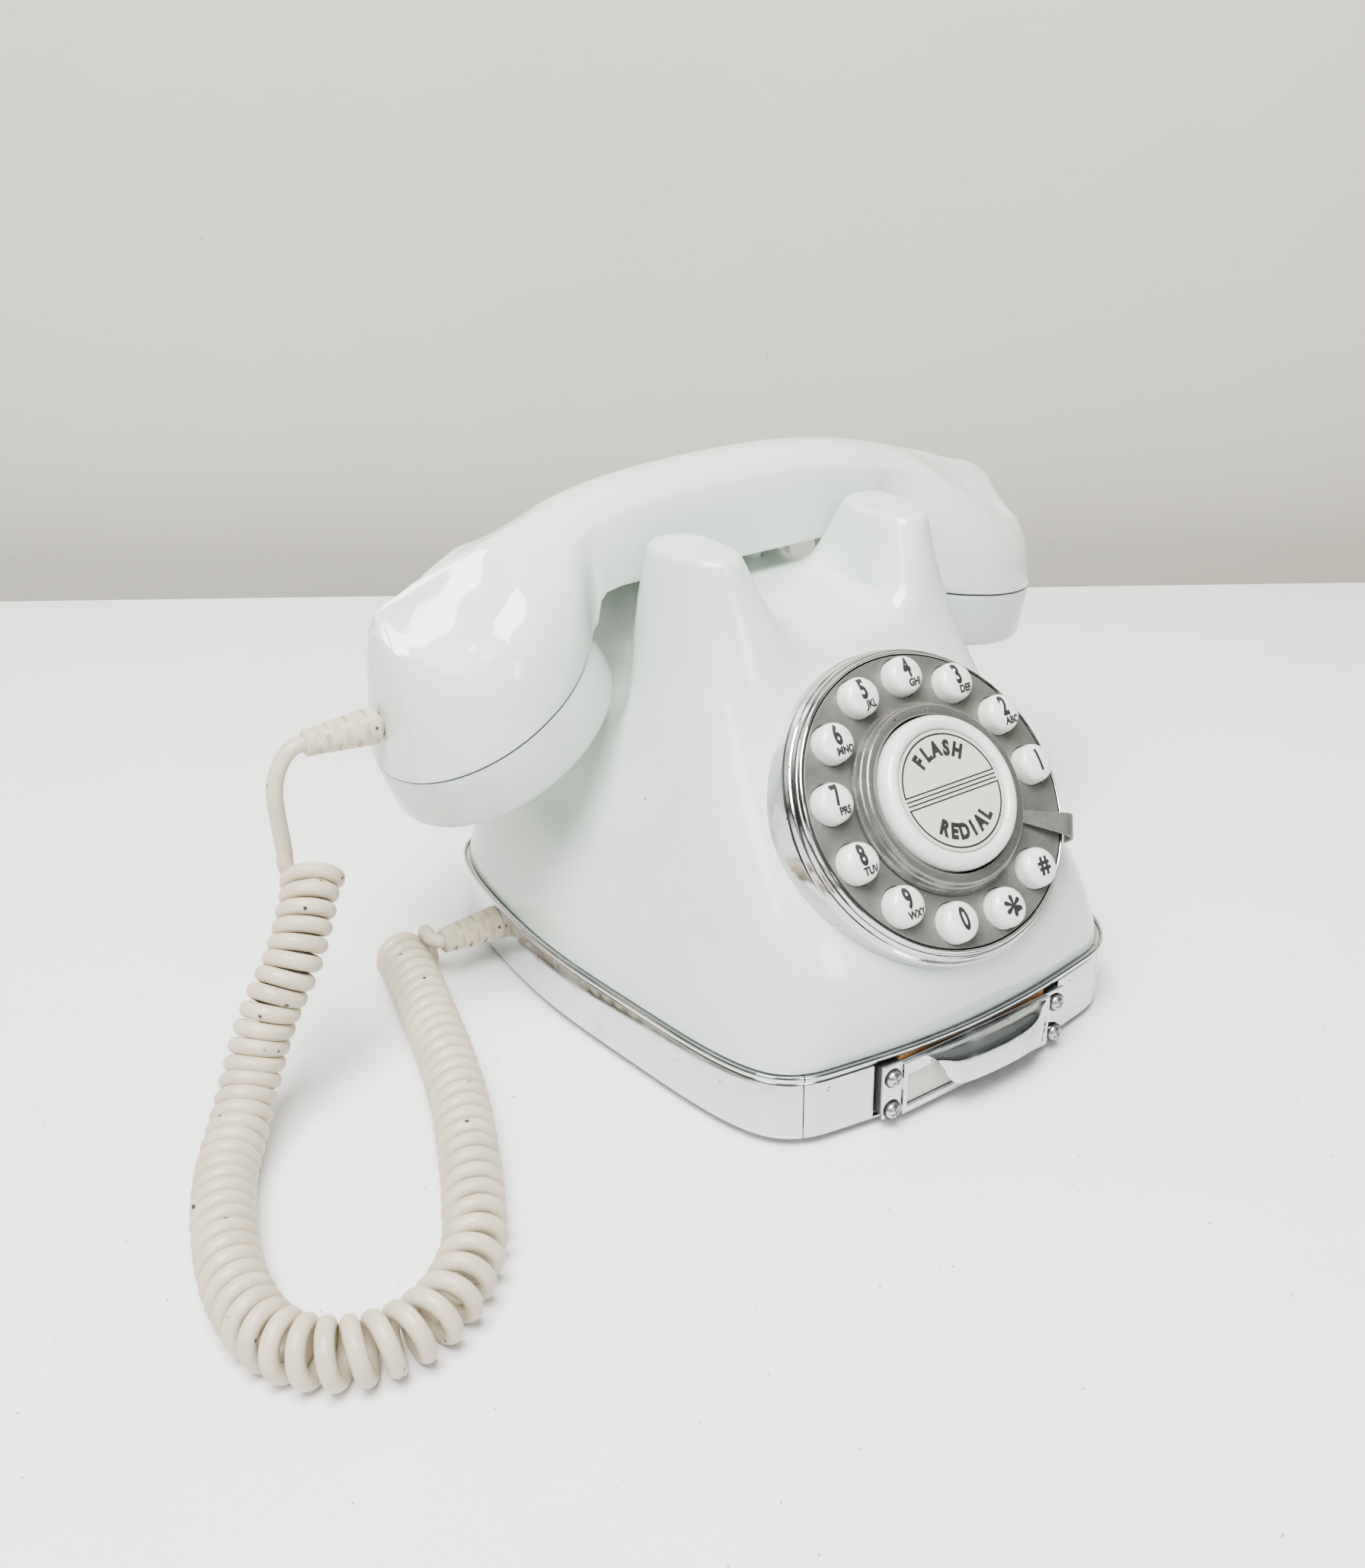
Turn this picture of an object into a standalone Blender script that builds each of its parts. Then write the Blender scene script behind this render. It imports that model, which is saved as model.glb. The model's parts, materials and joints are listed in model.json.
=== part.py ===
"""Push-button desk telephone in the style of a rotary one: moulded housing with four cradle horns,
chromed base band with a small drawer, round key dial, handset and coiled handset cord.

Origin: under the middle of the base, on the surface the feet stand on. +Z is up, the dial faces -Y,
the handset lies along X. Tables of points are in millimetres and are scaled as meshes are made.
"""

import math

import bmesh
import bpy
from mathutils import Matrix, Vector

MM = 0.001

# The tables below are measured from the middle of the dial's foot. This moves the whole to its own centre.
CENTRE_SHIFT = (-3.3, 5.7)

# Base and housing
FOOT_HEIGHT = 2.5
PLATE_TOP = 4.8
BAND_BOTTOM = 2.5
HOUSING_BOTTOM = 21.7
BAND_THICKNESS = 1.2
OUTLINE_STEPS = 4
MOULDING_GAP = 0.3

# Dial, measured along its own axis from the plane of the key caps' shoulders
DIAL_CENTRE = (0.0, -68.3, 80.1)
DIAL_TURN_DEG = 51.2
KEY_CIRCLE_RADIUS = 33.0
KEY_FIRST_DEG = -0.5
KEY_STEP_DEG = 28.02
KEY_RADIUS = 5.2
KEY_HOLE_RADIUS = 5.65
DIAL_HOLE_RADIUS = 44.25
KEY_NAMES = ("1", "2", "3", "4", "5", "6", "7", "8", "9", "0", "star", "hash")

# Handset
HANDSET_Y = 32.0
MOUTH_CENTRE = (-81.0, HANDSET_Y, 96.0)
MOUTH_RADIUS = 34.7
MOUTH_TILT_DEG = 30.8
EAR_CENTRE = (84.8, HANDSET_Y, 97.0)
EAR_RADIUS = 33.0
EAR_TILT_DEG = -9.0
RELIEF_Z = 92.4

# Drawer
DRAWER_HALF_WIDTH = 32.0
OPENING_HALF_WIDTH = 34.6
PULL_SCREW_X = 29.3
PULL_SCREW_HEIGHTS = (5.8, 15.6)
PULL_FACE_Y = -87.1

# Cord
COIL_RADIUS = 7.6
TAIL_RADIUS = 1.95
BASE_RELIEF = (-74.6, 40.2, 13.9)

# Housing cage, right half only: one row per level, front middle round to rear middle.
HOUSING_LEVELS = (
    ((0, -29.5, 116.5), (20, -28, 116.5), (24, -23.5, 137.5), (41.5, -20, 137.2), (44.5, 12, 137), (34, 17, 106),
     (34, 32, 104), (34, 46, 106), (43, 52.6, 136), (41, 66.5, 134), (24, 68.5, 134), (20, 70, 115), (0, 71, 114.5)),
    ((0, -35, 108), (20, -33.5, 108), (27, -31.5, 112), (44.5, -24.5, 113), (48, 11, 113), (35.5, 15, 97),
     (35, 32, 95), (35.5, 48, 97), (46.5, 52, 112), (43, 71, 112), (27, 72.5, 111), (20, 73, 108), (0, 73.5, 108)),
    ((0, -50.5, 88), (21, -49, 88), (31, -47, 88), (48.5, -40, 89), (53, 6, 90), (40, 15, 85),
     (38.5, 32, 84), (40, 48, 85), (51, 55, 90), (46.5, 74.5, 89), (30, 76, 88), (18, 76.5, 88), (0, 77, 88)),
    ((0, -70, 64), (21, -69, 64), (35, -66.5, 64), (53.5, -58, 65), (60, 2, 69), (56, 16, 78),
     (56, 32, 79), (56, 46, 78), (59.5, 59, 69), (54.5, 78, 66), (34, 79.5, 65), (20, 80, 65), (0, 80, 65)),
    ((0, -91, 41), (22, -89.5, 41), (39, -85, 41), (58, -73, 42), (67.5, -12, 44), (71, 12, 46),
     (71.5, 30, 46), (70.5, 45, 46), (68, 61, 45), (61, 79.5, 43), (38, 81.5, 42), (20, 82, 42), (0, 82, 42)),
    ((0, -86, 21.7), (24, -84.5, 21.7), (42, -81.5, 21.7), (63, -78.5, 21.7), (70, -30, 21.7), (75, 2, 21.7),
     (75.5, 25, 21.7), (74.5, 46, 21.7), (72.5, 63, 21.7), (65.5, 81, 21.7), (40, 81, 21.7), (20, 81, 21.7),
     (0, 81, 21.7)),
)
# Cage points inside the boundary of the top, right half: rows from front to rear, columns from the middle out.
HOUSING_TOP = (
    ((0, 9, 116), (20.5, 11, 116.3), (23.5, 12, 137)),
    ((0, 14, 115.5), (20, 15.5, 115.5), (27, 17, 115)),
    ((0, 32, 115), (20, 32, 115), (27, 32, 114)),
    ((0, 48, 115.5), (20, 47, 115.5), (27, 46, 115)),
    ((0, 54, 116), (20.5, 52.8, 116.3), (23.5, 52.6, 134.5)),
)
HORN_CREASE = 0.9
FOOT_CREASE = 0.8

# Handset shell: height of the ridge along X.
RIDGE = ((-110.4, 119.5), (-109.5, 123.3), (-102, 127.7), (-95.5, 130.8), (-86, 134.1), (-76.3, 137.2),
         (-66.5, 140.2), (-56.6, 143.1), (-46.5, 145.7), (-36, 147.7), (-22.5, 149.1), (0, 149.9), (19, 149.4),
         (36, 147.6), (53, 144.4), (70, 139.8), (89, 133.3), (109.2, 124.2), (111.5, 116), (117.2, 95))
# Stations along the handset: x, then the shoulder's half-width and height, and how far the flank above it sags.
SHOULDERS = ((-110.35, 5.3, 118.5, 0.0), (-109.3, 9.6, 116.6, 0.5), (-107.2, 14.2, 113.9, 1.3),
             (-103.6, 18.0, 113.6, 2.4), (-98.9, 20.5, 114.8, 3.0), (-92.9, 22.0, 117.0, 3.0),
             (-85.8, 21.6, 122.8, 2.2), (-80.5, 19.6, 128.0, 1.2), (-76.0, 17.0, 133.0, -0.4),
             (-69.0, 16.8, 134.5, -1.4), (-60.5, 15.2, 136.5, -1.6), (-52.0, 13.8, 139.0, -1.6),
             (-50.8, 13.6, 139.4, -1.6), (-48.8, 13.4, 139.9, -1.6), (-44.0, 13.0, 141.2, -1.6),
             (-36.0, 12.6, 142.6, -1.6), (-18.0, 12.2, 144.0, -1.6), (0.0, 12.2, 144.3, -1.6),
             (18.0, 12.2, 144.1, -1.6), (34.0, 12.6, 142.6, -1.6), (43.0, 13.0, 141.4, -1.6),
             (47.0, 13.4, 140.4, -1.6), (49.5, 13.6, 139.6, -1.6), (52.0, 13.8, 138.8, -1.6),
             (57.4, 14.6, 137.4, -1.6), (63.3, 15.6, 136.0, -1.5), (71.1, 17.4, 133.6, -0.8),
             (79.6, 19.8, 128.4, 1.0), (88.1, 21.4, 122.4, 2.3), (95.9, 21.2, 117.4, 3.0), (103.1, 19.0, 114.2, 2.6),
             (108.6, 15.4, 113.2, 1.2), (113.2, 11.2, 106.4, 0.0), (115.8, 7.2, 98.2, 0.0), (116.9, 4.0, 95.0, 0.0))
# How the side goes in, and up, between the cup's edge and the shoulder.
SIDE_STEPS = ((0.0, 0.0), (0.0, 0.14), (0.06, 0.36), (0.22, 0.6), (0.52, 0.82))
HANDLE_HALF_WIDTH = 16.5
HANDLE_UNDERSIDE = 122.6

# Middle line of the coil, from the base to the handset.
COIL_ROUTE = ((-103.9, 49.8, 7.8), (-105.9, 36, 7.8), (-110.3, 16.1, 7.8), (-115.4, -4.8, 7.8),
              (-120.9, -23.4, 7.8), (-128.3, -43, 7.8), (-135.3, -59, 7.8), (-141.9, -71.9, 7.8),
              (-152.7, -82.3, 7.8), (-164.2, -86.6, 7.8), (-176, -85.2, 7.8), (-185.3, -79, 7.8),
              (-190.6, -69, 7.8), (-191.4, -55, 7.8), (-189.3, -42, 7.8), (-185.4, -28, 7.8), (-179.7, -14.5, 8.2),
              (-172.3, -3.8, 11.5), (-166, 3.4, 18), (-161, 7, 26), (-155.8, 9.3, 34), (-148.2, 12.4, 43),
              (-141.2, 18.6, 52), (-135.6, 26, 59))


def clear_scene():
    for old in list(bpy.data.objects):
        bpy.data.objects.remove(old)


def collection(name):
    made = bpy.data.collections.new(name)
    bpy.context.scene.collection.children.link(made)
    return made


def material(name, colour, roughness, metallic=0.0):
    made = bpy.data.materials.new(name)
    made.use_nodes = True
    shader = made.node_tree.nodes["Principled BSDF"]
    shader.inputs["Base Color"].default_value = (*colour, 1.0)
    shader.inputs["Roughness"].default_value = roughness
    shader.inputs["Metallic"].default_value = metallic
    made.diffuse_color = (*colour, 1.0)
    return made


def mesh_from(name, points, faces):
    made = bpy.data.meshes.new(name)
    made.from_pydata([Vector(p) * MM for p in points], [], faces)
    made.update()
    return made


def add(name, mesh, finish, group, origin=(0, 0, 0), turn=(0, 0, 0)):
    """A named object. origin is in millimetres, turn in degrees about X, Y and Z."""
    made = bpy.data.objects.new(name, mesh)
    made.location = Vector(origin) * MM
    made.rotation_euler = [math.radians(angle) for angle in turn]
    if finish:
        mesh.materials.clear()
        mesh.materials.append(finish)
    group.objects.link(made)
    return made


def smooth(made, angle_deg=40.0):
    made.data.polygons.foreach_set("use_smooth", [True] * len(made.data.polygons))
    made.data.set_sharp_from_angle(angle=math.radians(angle_deg))
    return made


def revolve(name, profile, segments, closed):
    """A mesh turned about local Z. profile holds (radius, height) outwards and down the outside.

    A closed profile makes a ring. An open one starts and ends on the axis.
    """
    points, faces, rings = [], [], []
    for radius, height in profile:
        if radius == 0:
            rings.append([len(points)])
            points.append((0, 0, height))
            continue
        rings.append(list(range(len(points), len(points) + segments)))
        for step in range(segments):
            angle = math.tau * step / segments
            points.append((radius * math.cos(angle), radius * math.sin(angle), height))
    pairs = list(zip(rings, rings[1:] + rings[:1])) if closed else list(zip(rings, rings[1:]))
    for upper, lower in pairs:
        for step in range(segments):
            after = (step + 1) % segments
            corners = [upper[step % len(upper)], lower[step % len(lower)],
                       lower[after % len(lower)], upper[after % len(upper)]]
            face = list(dict.fromkeys(corners))
            if len(face) > 2:
                faces.append(face)
    return mesh_from(name, points, faces)


def box_mesh(name, low, high):
    made = bmesh.new()
    size = [b - a for a, b in zip(low, high)]
    middle = [(a + b) / 2 for a, b in zip(low, high)]
    place = Matrix.Translation(Vector(middle) * MM) @ Matrix.Diagonal((*[s * MM for s in size], 1))
    bmesh.ops.create_cube(made, size=1, matrix=place)
    mesh = bpy.data.meshes.new(name)
    made.to_mesh(mesh)
    made.free()
    return mesh


def cylinder_mesh(name, radius, length, segments=32, end_radius=None):
    """A cylinder or cone along local Z, its middle at the origin."""
    made = bmesh.new()
    last = radius if end_radius is None else end_radius
    bmesh.ops.create_cone(made, cap_ends=True, segments=segments, radius1=radius * MM, radius2=last * MM,
                          depth=length * MM)
    mesh = bpy.data.meshes.new(name)
    made.to_mesh(mesh)
    made.free()
    return mesh


def cut(target, mesh, cutters, origin=(0, 0, 0), turn=(0, 0, 0)):
    """Takes the shape of the mesh away from the target."""
    tool = add(f"cut_{target.name}_{len(target.modifiers)}", mesh, None, cutters, origin, turn)
    tool.hide_render = True
    tool.display_type = "WIRE"
    change = target.modifiers.new(f"cut_{len(target.modifiers)}", "BOOLEAN")
    change.operation = "DIFFERENCE"
    change.solver = "EXACT"
    change.object = tool
    return tool


def join(target, mesh, cutters):
    """Unites the target with a mesh, as one body."""
    helper = add(f"{target.name}_{mesh.name}", mesh, None, cutters)
    helper.hide_render = True
    helper.display_type = "WIRE"
    step = target.modifiers.new("join", "BOOLEAN")
    step.operation = "UNION"
    step.solver = "EXACT"
    step.object = helper


def bevel(made, width, segments=2, angle_deg=40.0):
    change = made.modifiers.new("edges", "BEVEL")
    change.width = width * MM
    change.segments = segments
    change.limit_method = "ANGLE"
    change.angle_limit = math.radians(angle_deg)


def tube(name, route, radius, finish, group, resolution=2):
    data = bpy.data.curves.new(name, "CURVE")
    data.dimensions = "3D"
    data.bevel_depth = radius * MM
    data.bevel_resolution = resolution
    data.use_fill_caps = True
    line = data.splines.new("POLY")
    line.points.add(len(route) - 1)
    for point, place in zip(line.points, route):
        point.co = (*[value * MM for value in place], 1.0)
    data.materials.append(finish)
    made = bpy.data.objects.new(name, data)
    group.objects.link(made)
    return made


def smooth_route(knots, count):
    """count points evenly along a Catmull-Rom curve through the knots."""
    knots = [Vector(k) for k in knots]
    ends = [2 * knots[0] - knots[1], *knots, 2 * knots[-1] - knots[-2]]
    fine = []
    for a, b, c, d in zip(ends, ends[1:], ends[2:], ends[3:]):
        for step in range(20):
            t = step / 20
            fine.append(0.5 * (2 * b + (c - a) * t + (2 * a - 5 * b + 4 * c - d) * t**2
                               + (3 * b - a - 3 * c + d) * t**3))
    fine.append(knots[-1])
    lengths = [0.0]
    for a, b in zip(fine, fine[1:]):
        lengths.append(lengths[-1] + (b - a).length)
    route, at = [], 0
    for step in range(count):
        wanted = lengths[-1] * step / (count - 1)
        while at < len(fine) - 2 and lengths[at + 1] < wanted:
            at += 1
        share = (wanted - lengths[at]) / (lengths[at + 1] - lengths[at])
        route.append(tuple(fine[at].lerp(fine[at + 1], share)))
    return route


def mirrored_ring(half):
    """The whole ring from its right half, starting at the front-left corner."""
    left = [(-x, y, z) for x, y, z in half]
    return [left[3], left[2], left[1], *half[:12], half[12], *left[11:3:-1]]


def housing_cage():
    """Points and faces of the closed housing cage, and the edges that stay sharp."""
    rings = [mirrored_ring(level) for level in HOUSING_LEVELS]
    count = len(rings[0])
    points = [point for ring in rings for point in ring]
    faces = []
    for level in range(len(rings) - 1):
        for step in range(count):
            after = (step + 1) % count
            low, high = level * count, (level + 1) * count
            faces.append((low + after, low + step, high + step, high + after))
    faces.append(tuple(range((len(rings) - 1) * count, len(rings) * count))[::-1])
    grid = {}
    for column in range(7):
        grid[column, 0] = column
        grid[column, 6] = 18 - column
        if column < 6:
            grid[6, column] = 6 + column
            grid[0, column] = (24 - column) % count
    for row, half in enumerate(HOUSING_TOP, start=1):
        for column, (x, y, z) in zip((3, 4, 5), half):
            for side, place in ((1, column), (-1, 6 - column)):
                if side < 0 and column == 3:
                    continue
                grid[place, row] = len(points)
                points.append((side * x, y, z))
    for column in range(6):
        for row in range(6):
            faces.append((grid[column, row], grid[column + 1, row], grid[column + 1, row + 1],
                          grid[column, row + 1]))
    sharp = {}
    bottom = (len(rings) - 1) * count
    for step in range(count):
        sharp[bottom + step, bottom + (step + 1) % count] = 1.0
    for columns in ((0, 1), (5, 6)):
        for rows in ((0, 1), (5, 6)):
            a, b = columns
            c, d = rows
            for first, second in (((a, c), (b, c)), ((b, c), (b, d)), ((b, d), (a, d)), ((a, d), (a, c))):
                sharp[grid[first], grid[second]] = HORN_CREASE
    for foot, horn in ((2, 1), (4, 5)):
        for rows in ((0, 1), (5, 6)):
            sharp[grid[foot, rows[0]], grid[foot, rows[1]]] = FOOT_CREASE
    return points, faces, sharp


def base_outline():
    """Points round the housing's bottom edge: the smooth curve that the cage's lowest ring gives."""
    ring = [Vector(point[:2]) for point in mirrored_ring(HOUSING_LEVELS[-1])]
    count = len(ring)
    outline = []
    for step in range(count):
        before, here, after, later = (ring[(step + offset) % count] for offset in (-1, 0, 1, 2))
        for part in range(OUTLINE_STEPS):
            t = part / OUTLINE_STEPS
            outline.append(((1 - t)**3 * before + (3 * t**3 - 6 * t**2 + 4) * here
                            + (-3 * t**3 + 3 * t**2 + 3 * t + 1) * after + t**3 * later) / 6)
    return outline


def offset_outline(outline, distance):
    count = len(outline)
    moved = []
    for step in range(count):
        along = (outline[(step + 1) % count] - outline[step - 1]).normalized()
        moved.append(outline[step] + Vector((along.y, -along.x)) * distance)
    return moved


def rounded_ring(front_half, rear_half, front_y, rear_y, radius, height):
    """A ring of sixteen points: a rounded trapezium seen from above."""
    ring = []
    corners = ((front_half, front_y, -90), (rear_half, rear_y, 0), (-rear_half, rear_y, 90),
               (-front_half, front_y, 180))
    for x, y, start in corners:
        centre = (x - math.copysign(radius, x), y - math.copysign(radius, y))
        for step in range(4):
            angle = math.radians(start + 30 * step)
            ring.append((centre[0] + radius * math.cos(angle), centre[1] + radius * math.sin(angle), height))
    return ring


def loft(name, rings):
    """A closed mesh through rings of equally many points, each ring anticlockwise seen from the last."""
    count = len(rings[0])
    points = [point for ring in rings for point in ring]
    faces = []
    for level in range(len(rings) - 1):
        low, high = level * count, (level + 1) * count
        for step in range(count):
            after = (step + 1) % count
            faces.append((low + step, low + after, high + after, high + step))
    faces.append(tuple(range(count))[::-1])
    faces.append(tuple(range((len(rings) - 1) * count, len(rings) * count)))
    return mesh_from(name, points, faces)


def lower_cavity():
    return loft("lower_cavity", [rounded_ring(53, 62, -78.5, 75.5, 14, 15),
                                 rounded_ring(52, 61, -79, 75.5, 14, 30),
                                 rounded_ring(47, 57, -78, 75.5, 14, 42),
                                 rounded_ring(42, 50, -60, 74, 12, 64),
                                 rounded_ring(38, 46, -52, 73, 12, 73)])


def upper_cavity():
    return loft("upper_cavity", [rounded_ring(34, 34, -53, 71, 8, 70), rounded_ring(32, 32, -38, 69, 8, 88),
                                 rounded_ring(30, 30, -24, 65, 8, 106), rounded_ring(28, 28, -18, 62, 8, 110)])


def add_housing(group, cutters, white):
    points, faces, sharp = housing_cage()
    mesh = mesh_from("housing_shell", points, faces)
    crease = mesh.attributes.new("crease_edge", "FLOAT", "EDGE")
    wanted = {frozenset(edge): value for edge, value in sharp.items()}
    for edge in mesh.edges:
        crease.data[edge.index].value = wanted.get(frozenset(edge.vertices), 0.0)
    housing = add("housing_shell", mesh, white, group)
    skin = housing.modifiers.new("skin", "SUBSURF")
    skin.levels = 2
    skin.render_levels = 2
    mesh.polygons.foreach_set("use_smooth", [True] * len(mesh.polygons))
    cut(housing, lower_cavity(), cutters)
    cut(housing, upper_cavity(), cutters)
    cut(housing, cylinder_mesh("dial_hole", DIAL_HOLE_RADIUS, 40, 64), cutters, dial_place(0, 0, -2),
        (DIAL_TURN_DEG, 0, 0))
    for side in (-1, 1):
        cut(housing, cylinder_mesh("plunger_hole", 3.3, 30, 20), cutters, (side * 13, HANDSET_Y, 112))
    return housing


def band_section():
    """(distance out from the housing's bottom edge, height) round the band's wall, bead and ledge."""
    return ((0.0, 2.5), (1.2, 2.5), (1.2, 19.6), (1.9, 20.2), (1.9, 21.5), (1.5, 22.1), (0.6, 22.1), (0.35, 21.3),
            (-1.4, 21.3), (-1.4, 20.6), (0.0, 20.2))


def band_mesh(name, outline, first, last):
    """The band from one outline point to another, closed at both ends."""
    rings = []
    count = len(outline)
    layers = [offset_outline(outline, distance) for distance, _ in band_section()]
    for step in range(first, last + 1):
        ring = []
        for layer, (_, height) in zip(layers, band_section()):
            here = layer[step % count].copy()
            if step == first:
                here = here.lerp(layer[(step + 1) % count], 0.04)
            if step == last:
                here = here.lerp(layer[(step - 1) % count], 0.04)
            ring.append((here.x, here.y, height))
        rings.append(ring)
    return loft(name, rings)


def add_base(group, cutters, chrome, steel, rubber):
    outline = base_outline()
    seam = 2
    panel = add("base_front_panel", band_mesh("base_front_panel", outline, seam, 24 - seam), chrome, group)
    band = add("base_band", band_mesh("base_band", outline, 24 - seam, 96 + seam), chrome, group)
    cut(panel, box_mesh("drawer_opening", (-OPENING_HALF_WIDTH, -95, 3.3), (OPENING_HALF_WIDTH, -60, 20.5)),
        cutters)
    cut(band, cylinder_mesh("cord_hole", 4.4, 14, 24), cutters, BASE_RELIEF, (0, 90, 0))
    cut(band, box_mesh("jack_opening", (27.7, 75, 5.7), (42.3, 90, 18.3)), cutters)
    smooth(panel)
    smooth(band)
    edge = offset_outline(outline, -0.35)[::2]
    rings = [[(p.x, p.y, height) for p in edge] for height in (FOOT_HEIGHT + MOULDING_GAP, PLATE_TOP)]
    plate = add("base_plate", loft("base_plate", rings), steel, group)
    cut(plate, box_mesh("drawer_way", (-33, -95, 0), (33, -82.5, 10)), cutters)
    foot = revolve("rubber_foot", ((0, 2.5), (7, 2.5), (7, 0.6), (6.4, 0), (0, 0)), 20, False)
    places = {"front_left": (-46, -66), "front_right": (46, -66), "rear_left": (-54, 64), "rear_right": (54, 64)}
    for name, (x, y) in places.items():
        smooth(add(f"rubber_foot_{name}", foot, rubber, group, (x, y, 0)))


def dial_place(u, v, w):
    """The point u to the right, v up the dial's face and w out of it."""
    turn = math.radians(DIAL_TURN_DEG)
    x, y, z = DIAL_CENTRE
    return (x + u, y + v * math.cos(turn) - w * math.sin(turn), z + v * math.sin(turn) + w * math.cos(turn))


def key_spot(index):
    angle = math.radians(KEY_FIRST_DEG + KEY_STEP_DEG * index)
    return KEY_CIRCLE_RADIUS * math.cos(angle), KEY_CIRCLE_RADIUS * math.sin(angle)


def add_dial(group, cutters, chrome, satin, white, ivory, board, rubber):
    turn = (DIAL_TURN_DEG, 0, 0)
    at = dial_place(0, 0, 0)
    bezel = revolve("dial_bezel", ((39.7, -2.7), (39.9, -2.1), (40.5, -2.2), (40.9, -3.3), (41.3, -3.4),
                                   (41.7, -4.7), (42.1, -4.9), (42.4, -6.6), (42.9, -7.2), (43.9, -18),
                                   (42.4, -18), (41.2, -9.4), (39.7, -9.4)), 48, True)
    smooth(add("dial_bezel", bezel, chrome, group, at, turn), 60)
    plate = revolve("dial_face_plate", ((21.0, -2.0), (39.3, -2.0), (39.3, -3.4), (21.0, -3.4)), 48, True)
    face = smooth(add("dial_face_plate", plate, satin, group, at, turn))
    hole = cylinder_mesh("key_hole", KEY_HOLE_RADIUS, 6, 16)
    for index in range(len(KEY_NAMES)):
        u, v = key_spot(index)
        cut(face, hole, cutters, dial_place(u, v, -2.7), turn)
    ring = revolve("dial_centre_ring", ((21.2, 2.6), (21.6, 3.0), (23.6, 3.0), (24.2, 2.6), (24.4, 1.2),
                                        (24.9, 0.9), (25.1, -0.4), (25.8, -0.8), (25.8, -1.7), (21.2, -1.7)),
                   48, True)
    smooth(add("dial_centre_ring", ring, satin, group, at, turn), 60)
    cap = revolve("key_cap", ((0, 3.1), (2.3, 2.95), (3.9, 2.45), (4.9, 1.6), (5.35, 0.4), (5.4, -3.7), (6.0, -3.7),
                              (6.0, -4.7), (0, -4.7)), 18, False)
    for index, name in enumerate(KEY_NAMES):
        u, v = key_spot(index)
        smooth(add(f"key_{name}", cap, white, group, dial_place(u, v, 0), turn), 50)
    rocker = revolve("centre_rocker", ((0, 4.6), (16.5, 4.6), (16.6, 5.6), (17.4, 6.3), (18.6, 6.4), (19.9, 5.6),
                                       (20.5, 4.2), (20.6, 1.5), (20.4, -1.0), (0, -1.2)), 44, False)
    smooth(add("centre_rocker", rocker, white, group, at, turn), 50)
    card = revolve("centre_card", ((0, 5.3), (16.1, 5.3), (16.1, 4.9), (0, 4.9)), 44, False)
    smooth(add("centre_card", card, ivory, group, at, turn))
    sheet = revolve("key_dome_sheet", ((0, -6.3), (39.0, -6.3), (39.0, -7.2), (0, -7.2)), 40, False)
    add("key_dome_sheet", sheet, rubber, group, at, turn)
    circuit = revolve("key_circuit_board", ((0, -7.6), (39.0, -7.6), (39.0, -9.0), (0, -9.0)), 40, False)
    add("key_circuit_board", circuit, board, group, at, turn)
    add_finger_stop(group, satin, turn)


def add_finger_stop(group, satin, turn):
    """A fixed strip that rises from the centre ring and folds down over the bezel."""
    across = math.radians(-28.0)
    line = ((26.2, -1.6, 1.7), (31, -0.9, 2.2), (36, -0.1, 2.7), (39.6, 0.4, 3.1), (41.9, 0.2, 3.3), (43.3, -1.0, 3.4),
            (43.6, -4.6, 3.4))
    rings = []
    for reach, height, half in line:
        tilt = 0.0 if reach < 43 else 1.0
        ring = []
        for side, level in ((-1, 0), (1, 0), (1, 1), (-1, 1)):
            r = reach + (0.9 * level * tilt if tilt else 0.0)
            w = height + (0.0 if tilt else 0.9 * level)
            ring.append((r * math.cos(across) - side * half * math.sin(across),
                         r * math.sin(across) + side * half * math.cos(across), w))
        rings.append(ring)
    add("finger_stop", loft("finger_stop", rings), satin, group, dial_place(0, 0, 0), turn)


def half_width(x):
    """Half the shell's width at the parting line of the cups, and how far the section is a cup's."""
    spans = ((MOUTH_CENTRE[0], MOUTH_RADIUS, MOUTH_TILT_DEG), (EAR_CENTRE[0], EAR_RADIUS, EAR_TILT_DEG))
    widest = 0.0
    for middle, radius, tilt in spans:
        share = (x - middle) / (radius * math.cos(math.radians(tilt)))
        if abs(share) < 1:
            widest = max(widest, radius * math.sqrt(1 - share**2))
    return widest


def ridge_height(x):
    for (x0, z0), (x1, z1) in zip(RIDGE, RIDGE[1:]):
        if x0 <= x <= x1:
            return z0 + (z1 - z0) * (x - x0) / (x1 - x0)
    return RIDGE[0][1] if x < RIDGE[0][0] else RIDGE[-1][1]


def underside_height(x):
    mouth_slope = math.tan(math.radians(MOUTH_TILT_DEG))
    ear_slope = math.tan(math.radians(EAR_TILT_DEG))
    if x < -51.9:
        return MOUTH_CENTRE[2] + (x - MOUTH_CENTRE[0]) * mouth_slope
    if x > 52:
        return EAR_CENTRE[2] + (x - EAR_CENTRE[0]) * ear_slope
    knots = ((-52, MOUTH_CENTRE[2] + (-52 - MOUTH_CENTRE[0]) * mouth_slope), (-50.8, 119.5), (-48.8, 121.8),
             (-44, HANDLE_UNDERSIDE), (43, HANDLE_UNDERSIDE), (47, 120), (49.5, 114.5),
             (52, EAR_CENTRE[2] + (52 - EAR_CENTRE[0]) * ear_slope))
    for (x0, z0), (x1, z1) in zip(knots, knots[1:]):
        if x0 <= x <= x1:
            return z0 + (z1 - z0) * (x - x0) / (x1 - x0)
    return HANDLE_UNDERSIDE


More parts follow.
